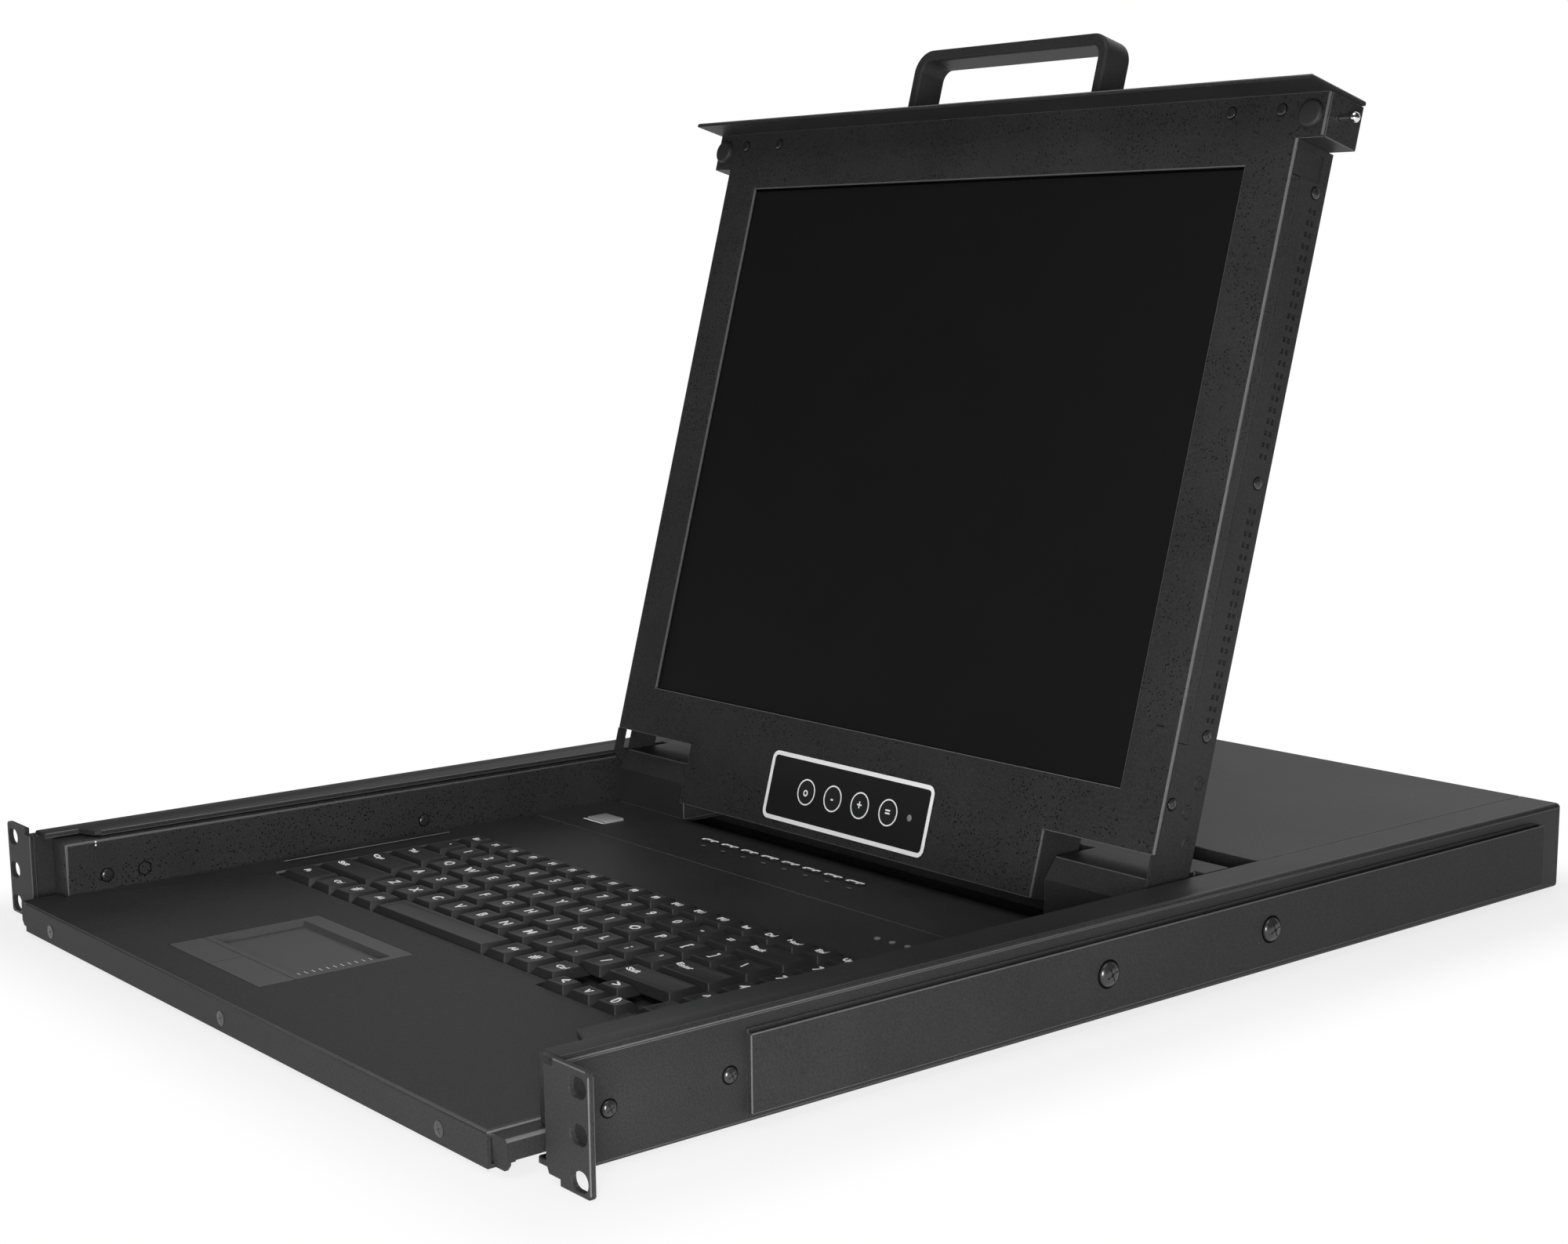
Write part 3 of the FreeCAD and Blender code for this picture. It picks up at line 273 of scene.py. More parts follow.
def surface(name, color, roughness, metallic=0.0, vary=0.0, grain=0.0, grain_size=0.6,
            rough_vary=0.0, specks=0.0, speck_color=(0.2, 0.2, 0.2), brushed=None,
            specular=0.5, painted_edge_highlight=None):
    """A finish whose colour, roughness and relief vary over the surface.

    The grain's depth and size are in millimetres.
    """
    material = bpy.data.materials.new(name)
    material.use_nodes = True
    tree = material.node_tree
    tree.nodes.clear()
    shade = Shade(tree)
    # output 3 is the object's own coordinates
    place = shade.node("ShaderNodeTexCoord", out=3)
    if brushed:
        place = shade.node("ShaderNodeMapping", {"Vector": place, "Scale": brushed})
    fine = shade.node("ShaderNodeTexNoise",
                      {"Vector": place, "Scale": 1000.0 / grain_size, "Detail": 3.0,
                       "Roughness": 0.6})
    broad = shade.node("ShaderNodeTexNoise",
                       {"Vector": place, "Scale": PATCHES, "Detail": 4.0, "Roughness": 0.55})
    light = tuple(min(1.0, c * (1.0 + vary) + 0.002 * vary) for c in color) + (1.0,)
    dark = tuple(c * (1.0 - vary) for c in color) + (1.0,)
    # the grain counts for more than the broad patches
    tone = shade.node("ShaderNodeMix",
                      {0: 0.6 * broad + 1.7 * fine - 0.65, 6: dark, 7: light}, out=2,
                      data_type="RGBA")
    rough = roughness + rough_vary * (broad - 0.5)
    height = fine
    if specks:
        # small pits in the coat, gathered in loose patches
        cells = shade.node("ShaderNodeTexVoronoi",
                           {"Vector": place, "Scale": 1000.0 / PIT_SPACING, "Randomness": 1.0})
        loose = shade.node("ShaderNodeTexNoise",
                           {"Vector": place, "Scale": PIT_PATCHES, "Detail": 3.0,
                            "Roughness": 0.7})
        dots = (cells < specks) * (loose > PIT_LEVEL)
        tone = shade.node("ShaderNodeMix", {0: dots, 6: tone, 7: (*speck_color, 1.0)},
                          out=2, data_type="RGBA")
        height = fine - 1.5 * dots
    if painted_edge_highlight:
        # rounded edges and fold strips get a painted highlight: a lighter colour in place of the light they catch
        edge = shade.node("ShaderNodeAttribute", attribute_name="painted_edge_highlight", out=2)
        tone = shade.node("ShaderNodeMix", {0: edge, 6: tone, 7: (*painted_edge_highlight, 1.0)}, out=2,
                          data_type="RGBA")
    inputs = {"Base Color": tone, "Roughness": rough, "Metallic": metallic,
              "Specular IOR Level": specular}
    if grain:
        inputs["Normal"] = shade.node("ShaderNodeBump",
                                      {"Height": height, "Strength": 0.9,
                                       "Distance": grain * MM})
    shader = shade.node("ShaderNodeBsdfPrincipled", inputs)
    output = tree.nodes.new("ShaderNodeOutputMaterial")
    tree.links.new(shader.socket, output.inputs["Surface"])
    return material


# ------------------------------------------------------------ mesh helpers
def mesh_object(name, bm, body, finish, node=None, slot=None, angle=EDGE_ANGLE):
    """Turns a bmesh into a finished piece that rides on a body."""
    bmesh.ops.recalc_face_normals(bm, faces=bm.faces)
    mesh = bpy.data.meshes.new(name)
    bm.to_mesh(mesh)
    bm.free()
    for polygon in mesh.polygons:
        # broad flat faces stay flat; narrow strips and small faces are blended
        rim = sum((mesh.vertices[a].co - mesh.vertices[b].co).length
                  for a, b in polygon.edge_keys)
        polygon.use_smooth = polygon.area < SMALL_FACE or polygon.area < THIN_FACE * rim ** 2
    mesh.set_sharp_from_angle(angle=math.radians(angle))
    mesh.materials.append(MATERIALS[finish])
    piece = bpy.data.objects.new(name, mesh)
    bpy.context.scene.collection.objects.link(piece)
    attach(piece, body)
    if node:
        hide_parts(node)


def add_box(bm, low, high, bevel=0.0, segments=2):
    """A box between two corners with rounded edges."""
    size = Vector(high) - Vector(low)
    middle = (Vector(high) + Vector(low)) / 2
    made = bmesh.ops.create_cube(bm, size=1.0)
    verts = made["verts"]
    bmesh.ops.scale(bm, vec=size, verts=verts)
    bmesh.ops.translate(bm, vec=middle, verts=verts)
    if bevel:
        edges = list({e for v in verts for e in v.link_edges})
        bmesh.ops.bevel(bm, geom=edges, offset=bevel, segments=segments, profile=0.5,
                        affect="EDGES", material=-1)
    return verts


def new_verts(bm, before):
    """The vertices that have come since a set of them was taken."""
    return [v for v in bm.verts if v not in before]


def facing(center, axis):
    """A place whose Z points along an axis."""
    turn = Vector((0, 0, 1)).rotation_difference(Vector(axis)).to_matrix().to_4x4()
    return Matrix.Translation(center) @ turn


def on_face(x, v):
    """A place on the screen's face, from millimetres across and up."""
    return ON_SCREEN @ Matrix.Translation(Vector((x, v, 0)) * MM)


def islands(obj):
    """Corner pairs of each loose solid of a CAD node."""
    mesh = obj.data
    bm = bmesh.new()
    bm.from_mesh(mesh)
    bmesh.ops.remove_doubles(bm, verts=bm.verts, dist=1e-6)
    left = set(bm.verts)
    found = []
    while left:
        stack = [left.pop()]
        low = Vector(stack[0].co)
        high = Vector(stack[0].co)
        while stack:
            v = stack.pop()
            low = Vector(map(min, low, v.co))
            high = Vector(map(max, high, v.co))
            for e in v.link_edges:
                other = e.other_vert(v)
                if other in left:
                    left.remove(other)
                    stack.append(other)
        found.append((low, high))
    bm.free()
    return found


def reaches(face, edge, least):
    """Whether a face is deep enough behind its edge to hold a rounding."""
    start = edge.verts[0].co
    line = (edge.verts[1].co - start).normalized()
    return any(((v.co - start) - line * (v.co - start).dot(line)).length > least
               for v in face.verts)


def soften(name, edge, finish, body, slot):
    """Takes a CAD node's mesh, breaks its sharp edges and marks its rounded edges for a painted highlight.

    A thin sheet with many openings keeps its edges, and only its strips are marked.
    """
    bm = bmesh.new()
    bm.from_mesh(NODES[name].data)
    bmesh.ops.remove_doubles(bm, verts=bm.verts, dist=2e-6)
    # the triangles of each flat face become one
    bmesh.ops.dissolve_limit(bm, angle_limit=math.radians(0.6), use_dissolve_boundaries=False,
                             verts=bm.verts, edges=bm.edges, delimit={"NORMAL"})
    thin = name in THIN_SHEET
    sharp = [e for e in bm.edges if not thin and len(e.link_faces) == 2
             and e.calc_face_angle(0.0) > SHARP_ANGLE
             and all(reaches(f, e, DEEP_ENOUGH * edge) for f in e.link_faces)]
    before = BVHTree.FromBMesh(bm)
    corners = set(bm.verts)
    made = bmesh.ops.bevel(bm, geom=sharp, offset=edge, offset_type="OFFSET", segments=2,
                           profile=0.5, affect="EDGES", clamp_overlap=False, material=-1)
    for v in new_verts(bm, corners):
        # a corner that was thrown off the sheet goes back on to it
        spot, _, _, away = before.find_nearest(v.co)
        if away > edge:
            v.co = spot
    # painted highlight: the rounded edges get a lighter colour through this face attribute
    painted_edge_highlight = bm.faces.layers.float.new("painted_edge_highlight")
    for face in made["faces"]:
        if face.is_valid:
            face[painted_edge_highlight] = 1.0
    steepest = 100.0 if thin else 60.0
    for face in bm.faces:
        # the narrow strips of a fold get a weaker painted highlight
        long = max(face.edges, key=lambda e: e.calc_length())
        length = long.calc_length()
        strip = length > STRIP_LENGTH and face.calc_area() < STRIP_WIDTH * length
        if strip and 5.0 < math.degrees(long.calc_face_angle(0.0)) < steepest:
            face[painted_edge_highlight] = max(face[painted_edge_highlight], 0.5)
    mesh_object(name + "_coated", bm, body, finish, node=name, slot=slot, angle=FOLD_ANGLE)


def add_key(bm, low, high, bevel, dish):
    """A keycap: skirt, sloping sides with rounded edges and a dished top."""
    before = set(bm.verts)
    verts = add_box(bm, low, high)
    top = [v for v in verts if v.co.z > (low.z + high.z) / 2]
    middle = (low + high) / 2
    for v in top:
        v.co.x += bevel * (1 if v.co.x < middle.x else -1)
        v.co.y += bevel * 0.75 * (1 if v.co.y < middle.y else -1)
    # every edge but the four round the foot
    edges = list({e for v in verts for e in v.link_edges
                  if e.verts[0].co.z + e.verts[1].co.z > low.z + high.z - 1e-6})
    bmesh.ops.bevel(bm, geom=edges, offset=KEY_ROUNDING, segments=2, profile=0.5,
                    affect="EDGES", material=-1)
    made = new_verts(bm, before)
    face = max({f for v in made for f in v.link_faces},
               key=lambda f: (round(f.calc_center_median().z, 6), f.calc_area()))
    for inset, share in ((0.5 * MM, 0.0), (2.2 * MM, 0.75), (2.0 * MM, 0.25)):
        bmesh.ops.inset_individual(bm, faces=[face], thickness=inset, depth=-dish * share)


def text_mesh(words, size, matrix, thickness, weight, width=1.0):
    """Flat characters as mesh data, no wider than asked, placed by a matrix."""
    curve = bpy.data.curves.new("mark", "FONT")
    curve.body = words
    curve.size = size
    curve.extrude = thickness
    curve.offset = weight
    curve.align_x = "CENTER"
    curve.align_y = "CENTER"
    curve.resolution_u = 3
    holder = bpy.data.objects.new("mark", curve)
    bpy.context.scene.collection.objects.link(holder)
    bpy.context.view_layer.update()
    graph = bpy.context.evaluated_depsgraph_get()
    mesh = bpy.data.meshes.new_from_object(holder.evaluated_get(graph))
    reach = 2 * max(abs(v.co.x) for v in mesh.vertices)
    fit = min(1.0, width / reach)
    mesh.transform(matrix @ Matrix.Diagonal((fit, fit, 1, 1)))
    bpy.data.objects.remove(holder)
    bpy.data.curves.remove(curve)
    return mesh


def lay_on(meshes, tree, lift, sink):
    """Drops characters on to a curved top: lower side sunk, upper side just proud."""
    for mesh in meshes:
        for v in mesh.vertices:
            hit = tree.ray_cast(Vector((v.co.x, v.co.y, 1.0)), Vector((0, 0, -1)))[0]
            if hit:
                v.co.z = hit.z + (lift if v.co.z > 0.0 else -sink)


def merge_meshes(bm, meshes):
    """Adds meshes to a bmesh and drops them."""
    for mesh in meshes:
        bm.from_mesh(mesh)
        bpy.data.meshes.remove(mesh)


def add_ring(bm, matrix, half, radius, width, low, high):
    """A rounded rectangular or round ring of print between two levels of a face."""
    before = set(bm.verts)
    made = bmesh.ops.create_grid(bm, x_segments=1, y_segments=1, size=1.0)
    verts = made["verts"]
    bmesh.ops.scale(bm, vec=(half[0], half[1], 1.0), verts=verts)
    bmesh.ops.bevel(bm, geom=verts, offset=radius, segments=8, profile=0.5,
                    affect="VERTICES", material=-1)
    face = next(f for f in bm.faces if all(v not in before for v in f.verts))
    bmesh.ops.inset_individual(bm, faces=[face], thickness=width, depth=0.0)
    bmesh.ops.delete(bm, geom=[face], context="FACES_ONLY")
    made = new_verts(bm, before)
    faces = list({f for v in made for f in v.link_faces})
    bmesh.ops.translate(bm, vec=(0, 0, low), verts=made)
    grown = bmesh.ops.extrude_face_region(bm, geom=faces, use_keep_orig=True)
    lifted = [g for g in grown["geom"] if isinstance(g, bmesh.types.BMVert)]
    bmesh.ops.translate(bm, vec=(0, 0, high - low), verts=lifted)
    bmesh.ops.transform(bm, matrix=matrix, verts=new_verts(bm, before))


def add_screw(bm, center, axis, radius, height, dome=0.5, sink=0.55):
    """A round screw head with a cross recess, standing on a face."""
    before = set(bm.verts)
    at = 0.58
    made = bmesh.ops.create_circle(bm, cap_ends=True, segments=24, radius=radius * at)
    face = made["verts"][0].link_faces[0]
    rim = list(face.edges)
    bmesh.ops.translate(bm, vec=(0, 0, height), verts=made["verts"])
    # shares of the radius and of the height, from the flat middle down to the rim
    steps = ((0.80, 1.0 - dome * 0.35), (0.95, 1.0 - dome * 0.75), (1.0, 1.0 - dome),
             (1.0, 0.0))
    for reach, level in steps:
        grown = bmesh.ops.extrude_edge_only(bm, edges=rim)
        verts = [g for g in grown["geom"] if isinstance(g, bmesh.types.BMVert)]
        rim = [g for g in grown["geom"] if isinstance(g, bmesh.types.BMEdge)
               and all(v in verts for v in g.verts)]
        bmesh.ops.scale(bm, vec=(reach / at, reach / at, 1.0), verts=verts)
        for v in verts:
            v.co.z = height * level
        at = reach
    bmesh.ops.contextual_create(bm, geom=rim)
    bmesh.ops.inset_individual(bm, faces=[face], thickness=radius * 0.42, depth=0.0)
    # the recess: the middle and every sixth face round it
    arms = []
    for other in {f for e in face.edges for f in e.link_faces if f is not face}:
        c = other.calc_center_median()
        turn = math.degrees(math.atan2(c.y, c.x)) % 90.0
        if turn < 16.0:
            arms.append(other)
    grown = bmesh.ops.extrude_face_region(bm, geom=arms + [face])
    verts = [g for g in grown["geom"] if isinstance(g, bmesh.types.BMVert)]
    bmesh.ops.delete(bm, geom=arms + [face], context="FACES_ONLY")
    bmesh.ops.translate(bm, vec=(0, 0, -height * sink), verts=verts)
    matrix = facing(center, axis) @ Matrix.Rotation(0.3, 4, "Z")
    bmesh.ops.transform(bm, matrix=matrix, verts=new_verts(bm, before))


def add_turned(bm, profile, matrix, steps=24):
    """A turned piece: the profile is pairs of radius and height about Z."""
    before = set(bm.verts)
    verts = [bm.verts.new((r, 0.0, z)) for r, z in profile]
    edges = [bm.edges.new(pair) for pair in zip(verts, verts[1:])]
    bmesh.ops.spin(bm, geom=verts + edges, cent=(0, 0, 0), axis=(0, 0, 1),
                   angle=math.tau, steps=steps, use_merge=True)
    made = new_verts(bm, before)
    bmesh.ops.remove_doubles(bm, verts=made, dist=1e-7)
    bmesh.ops.transform(bm, matrix=matrix, verts=new_verts(bm, before))


def band(inner, outer):
    """The profile of a thin ring that lies in a face, or of a disc where inner is 0."""
    low, high = -0.1 * MM, 0.05 * MM
    profile = [(inner, low), (outer, low), (outer, high), (inner, high)]
    return profile + profile[:1] if inner else profile


def box_piece(name, body, finish, corners, bevel=0.0, segments=2, **kept):
    """A piece of boxes, each between two corners."""
    bm = bmesh.new()
    for low, high in corners:
        add_box(bm, low, high, bevel, segments)
    mesh_object(name, bm, body, finish, **kept)


def turned_piece(name, body, finish, profile, places, steps=24, **kept):
    """A piece turned from one profile at each of its places."""
    bm = bmesh.new()
    for place in places:
        add_turned(bm, profile, place, steps)
    mesh_object(name, bm, body, finish, **kept)


# ------------------------------------------------------------ sizes and colours
class DrawerColours(bpy.types.PropertyGroup):
    coat: FloatVectorProperty(name="Powder coat", description="Colour of the steel sheet",
                              default=(0.027, 0.027, 0.0275), subtype="COLOR", min=0, max=1)
    key: FloatVectorProperty(name="Keys", description="Colour of the keycaps",
                             default=(0.017, 0.017, 0.018), subtype="COLOR", min=0, max=1)
    glass: FloatVectorProperty(name="Screen", description="Colour of the dark screen",
                               default=(0.0062, 0.0062, 0.0065), subtype="COLOR", min=0, max=1)
    print_white: FloatVectorProperty(name="Print", description="Colour of printed marks",
                                     default=(0.92, 0.92, 0.91), subtype="COLOR", min=0, max=1)
    floor: FloatVectorProperty(name="Floor", description="Colour of the studio floor",
                               default=(0.75, 0.75, 0.75), subtype="COLOR", min=0, max=1)


class DrawerSizes(bpy.types.PropertyGroup):
    key_bevel: FloatProperty(name="Key slope", description="Inset of a key's top",
                             default=2.9 * MM, unit="LENGTH", min=0.0005, max=0.004)
    key_dish: FloatProperty(name="Key dish", description="Depth of the dished top",
                            default=0.7 * MM, unit="LENGTH", min=0, max=0.001)
    legend: FloatProperty(name="Legend height", description="Size of the key legends",
                          default=6.8 * MM, unit="LENGTH", min=0.001, max=0.01)
    ticks: IntProperty(name="Scroll marks", description="Marks along the touchpad's edge",
                       default=11, min=0, max=30)
    edge: FloatProperty(name="Edge", description="Rounding of the coated edges",
                        default=0.4 * MM, unit="LENGTH", min=0.00005, max=0.001)
    print_lift: FloatProperty(name="Print lift", description="Height of print above a face",
                              default=0.04 * MM, unit="LENGTH", min=0.00001, max=0.0005)


class DRAWER_OT_finishes(bpy.types.Operator):
    """Makes the finishes and gives each CAD node its own"""
    bl_idname = "drawer.finishes"
    bl_label = "Finishes"

    def execute(self, context):
        colours = context.scene.drawer_colours
        coat = tuple(colours.coat)
        # the lighter colour of the painted highlight on edges and fold strips
        painted_edge_highlight = (0.19, 0.19, 0.19)
        MATERIALS.update({
            "black_coat": surface("powder_coat", coat, 0.5, vary=0.45, grain=0.10,
                                  grain_size=0.8, rough_vary=0.08, specular=0.16, painted_edge_highlight=painted_edge_highlight),
            "face_coat": surface("face_coat", coat, 0.5, vary=0.5, grain=0.12,
                                 grain_size=0.8, rough_vary=0.08, specks=0.24,
                                 speck_color=(0.005, 0.005, 0.005), specular=0.16,
                                 painted_edge_highlight=painted_edge_highlight),
            "zinc_steel": surface("zinc_plate", (0.52, 0.52, 0.50), 0.36, 1.0, vary=0.12,
                                  grain=0.01, grain_size=0.5, rough_vary=0.15,
                                  brushed=(1.0, 0.06, 1.0)),
            "chrome_pin": surface("chrome", (0.78, 0.78, 0.79), 0.12, 1.0, vary=0.04,
                                  rough_vary=0.06),
            "key_plastic": surface("key_plastic", tuple(colours.key), 0.46, vary=0.10,
                                   grain=0.012, grain_size=0.35, rough_vary=0.08,
                                   specular=0.4),
            "black_plastic": surface("black_plastic", (0.018, 0.018, 0.019), 0.42,
                                     vary=0.10, grain=0.015, grain_size=0.4,
                                     rough_vary=0.08, specular=0.45),
            "grey_plastic": surface("grey_plastic", (0.33, 0.33, 0.33), 0.4, vary=0.05,
                                    grain=0.01, grain_size=0.4),
            "screen_face": surface("screen_face", tuple(colours.glass), 0.38, vary=0.08,
                                   grain=0.006, grain_size=0.4, rough_vary=0.04,
                                   specular=0.22),
            "circuit": surface("circuit_board", (0.02, 0.11, 0.05), 0.35, vary=0.3,
                               grain=0.02, grain_size=1.5, rough_vary=0.1),
            "bumper_rubber": surface("rubber", (0.02, 0.02, 0.02), 0.6, vary=0.12,
                                     grain=0.02, grain_size=0.5),
            "film": surface("overlay_film", (0.012, 0.012, 0.013), 0.34, vary=0.06,
                            grain=0.006, grain_size=0.3, rough_vary=0.06, specular=0.4),
            "print_white": surface("print_white", tuple(colours.print_white), 0.5,
                                   vary=0.04, rough_vary=0.05),
            "screw_black": surface("screw_black", (0.022, 0.022, 0.023), 0.25, vary=0.1,
                                   grain=0.006, grain_size=0.3, rough_vary=0.08,
                                   specular=0.6),
            # a near-black finish for painted shade: flat rings round screw heads and round a wall stud
            "painted_shade": surface("painted_shade_ring", (0.002, 0.002, 0.002), 0.8, vary=0.1,
                           specular=0.05),
            "pad": surface("touchpad_face", (0.054, 0.054, 0.055), 0.42, vary=0.14,
                           grain=0.02, grain_size=0.5, rough_vary=0.08, specular=0.35),
            # pale grey for the printed port signs and for the painted highlight along the tray's bead
            "pale": surface("pale_print_and_highlight", (0.16, 0.16, 0.16), 0.5, vary=0.08),
            "lamp": surface("indicator", (0.22, 0.22, 0.22), 0.25, vary=0.05),
        })
        for part in frame["record"]["subparts"]:
            node = NODES[part["node"]]
            finish = MATERIALS[part["material_slot"]]
            if part["node"] in SPECKLED:
                finish = MATERIALS["face_coat"]
            elif part["node"].startswith("touchpad"):
                finish = MATERIALS["pad"]
            if node.material_slots:
                for slot in node.material_slots:
                    slot.material = finish
            else:
                node.data.materials.append(finish)
        return {"FINISHED"}


class DRAWER_OT_sheet_metal(bpy.types.Operator):
    """Breaks the sharp edges of the coated sheet metal"""
    bl_idname = "drawer.sheet_metal"
    bl_label = "Sheet metal"

    def execute(self, context):
        edge = context.scene.drawer_sizes.edge
        for body, nodes in SHEET_METAL.items():
            for node in nodes:
                finish = "face_coat" if node in SPECKLED else "black_coat"
                soften(node, edge, finish, body, "black_coat")
        return {"FINISHED"}


class DRAWER_OT_keys(bpy.types.Operator):
    """Builds the dished keycaps and their plain legends"""
    bl_idname = "drawer.keys"
    bl_label = "Keys"

    def execute(self, context):
        sizes = context.scene.drawer_sizes
        for row, marks in KEY_ROWS.items():
            caps = sorted(islands(NODES[row]), key=lambda c: c[0].x)
            bm = bmesh.new()
            texts = []
            for (low, high), mark in zip(caps, marks):
                add_key(bm, low, high, sizes.key_bevel, sizes.key_dish)
                word = len(mark) > 1
                wide = high.x - low.x
                # on a wide key the legend stands near the left end
                x = LEGEND_X if wide > WIDE_KEY else (0.5 if word else 0.42) * wide
                place = (low.x + x, low.y + 0.58 * (high.y - low.y), 0)
                room = 2 * (x - sizes.key_bevel - LEGEND_EDGE)
                size = sizes.legend * (WORD_SIZE if word else 1.0)
                texts.append(text_mesh(mark, size, Matrix.Translation(place), LEGEND_DEPTH,
                                       LEGEND_WEIGHT, room))
            lay_on(texts, BVHTree.FromBMesh(bm), LEGEND_LIFT, LEGEND_SINK)
            name = row.removeprefix("keys_")
            mesh_object("keycaps_" + name, bm, row, "key_plastic", node=row, slot="key_plastic")
            bm = bmesh.new()
            merge_meshes(bm, texts)
            mesh_object("legends_" + name, bm, row, "print_white")
        bm = bmesh.new()
        (low, high), = islands(NODES["space_bar"])
        add_key(bm, low, high, sizes.key_bevel, sizes.key_dish)
        mesh_object("space_keycap", bm, "space_bar", "key_plastic", node="space_bar",
                    slot="key_plastic")
        return {"FINISHED"}


class DRAWER_OT_screws(bpy.types.Operator):
    """Builds the cross-recessed screw heads and the flat rivets"""
    bl_idname = "drawer.screws"
    bl_label = "Screws"

    def execute(self, context):
        for node, body in (("chassis_screws", "chassis"), ("tray_screws", "drawer"),
                           ("screen_screws", "screen")):
            heads = bmesh.new()
            shade_rings = bmesh.new()
            rivets = bmesh.new()
            for low, high in islands(NODES[node]):
                middle = (low + high) / 2
                size = high - low
                side = 1.0 if middle.x > 0 else -1.0
                outwards = Vector((side, 0, 0))
                if node == "chassis_screws":
                    radius = size.y / 2
                    height = RAIL_HEADS[radius >= LARGE_SCREW]
                    outer = high.x if side > 0 else -low.x
                    place = Vector((side * (outer - height), middle.y, middle.z))
                    self.seated(heads, shade_rings, place, outwards, radius, height, 0.75)
                elif node == "tray_screws" and abs(middle.x) > WALL_SCREW_X:
                    inner = low.x if side > 0 else -high.x
                    place = Vector((side * (inner + WALL_HEAD), middle.y, middle.z))
                    self.seated(heads, shade_rings, place, -outwards, size.y / 2, WALL_HEAD)
                elif node == "tray_screws":
                    place = Vector((middle.x, low.y + LIP_HEAD, middle.z))
                    add_screw(heads, place, (0, -1, 0), size.x / 2, LIP_HEAD, 0.3, 2.4)
                elif abs(middle.x) < SIDE_SCREW_X:
                    local = (SCREEN_TURN.transposed() @ (middle - FACE_ORIGIN).to_4d()).to_3d()
                    place = FACE_ORIGIN + UP * local.y + Vector((middle.x, 0, 0))
                    self.seated(heads, shade_rings, place, OUT, size.x / 2, BAR_HEAD)
                else:
                    place = Vector((side * (abs(middle.x) - size.x / 2), middle.y, middle.z))
                    if size.x > RIVET_HEIGHT:
                        self.seated(heads, shade_rings, place, outwards, SIDE_SCREW, size.x, 0.6)
                    else:
                        # a dished middle in a raised rim
                        add_turned(rivets, ((0.0, 0.12 * MM), (2.5 * MM, 0.12 * MM),
                                            (2.6 * MM, size.x), (2.95 * MM, size.x),
                                            (3.2 * MM, 0.0), (0.0, 0.0)),
                                   facing(place, outwards))
            mesh_object(node.replace("screws", "screw_heads"), heads, body, "screw_black",
                        node=node, slot="black_coat")
            mesh_object(node.replace("screws", "screw_shade_rings"), shade_rings, body, "painted_shade")
            if rivets.verts:
                mesh_object("side_rivets", rivets, body, "face_coat")
            else:
                rivets.free()
        return {"FINISHED"}

    def seated(self, heads, shade_rings, place, axis, radius, height, dome=0.5):
        """A screw head in a flat ring of painted shade, where the rim of its hole would be shadowed."""
        add_screw(heads, place, axis, radius, height, dome)
        # a flat near-black ring in the face round the head: painted shade
        add_turned(shade_rings, band(radius * 0.97, radius * 1.16), facing(place, axis))


class DRAWER_OT_screen_buttons(bpy.types.Operator):
    """Prints the outline, rings and marks of the screen's button strip"""
    bl_idname = "drawer.screen_buttons"
    bl_label = "Screen buttons"

    def execute(self, context):
        low = STRIP_FACE * MM - PRINT_ROOT
        high = STRIP_FACE * MM + context.scene.drawer_sizes.print_lift
        bm = bmesh.new()
        add_ring(bm, on_face(*STRIP_MIDDLE), (STRIP_HALF[0] * MM, STRIP_HALF[1] * MM),
                 STRIP_CORNER * MM, STRIP_LINE * MM, low, high)
        for x in BUTTON_X:
            # corners nearly as wide as the ring itself make it round
            add_ring(bm, on_face(x, BUTTON_V), (BUTTON_RING * MM, BUTTON_RING * MM),
                     (BUTTON_RING - 0.05) * MM, BUTTON_LINE * MM, low, high)
        mesh_object("button_strip_outline", bm, "screen", "print_white")
        top = Matrix.Translation((0, 0, BUTTON_TOP * MM))
        for k, (x, sign) in enumerate(zip(BUTTON_X, BUTTON_SIGNS), 1):
            bm = bmesh.new()
            place = on_face(x, BUTTON_V) @ top
            merge_meshes(bm, [text_mesh(sign, BUTTON_SIGN * MM, place, 0.03 * MM, 0.1 * MM)])
            mesh_object("button_sign_%d" % k, bm, "osd_button_%d" % k, "print_white")
        turned_piece("screen_indicator", "screen", "lamp",
                     ((0.0, 0.0), (1.6 * MM, 0.0), (1.6 * MM, 0.31 * MM), (1.1 * MM, 0.5 * MM),
                      (0.0, 0.6 * MM)), [on_face(INDICATOR_X, BUTTON_V)])
        return {"FINISHED"}


class DRAWER_OT_touchpad_marks(bpy.types.Operator):
    """Prints the scroll marks along the touchpad"""
    bl_idname = "drawer.touchpad_marks"
    bl_label = "Touchpad marks"

    def execute(self, context):
        sizes = context.scene.drawer_sizes
        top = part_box("touchpad")[1].z - SCROLL_SINK * MM
        start, end = SCROLL_Y
        marks = []
        for k in range(sizes.ticks):
            y = (start + (end - start) * k / max(1, sizes.ticks - 1)) * MM
            marks.append(((SCROLL_X[0] * MM, y - 0.18 * MM, top - 0.02 * MM),
                          (SCROLL_X[1] * MM, y + 0.18 * MM, top + sizes.print_lift)))
        box_piece("scroll_marks", "drawer", "print_white", marks)
        return {"FINISHED"}


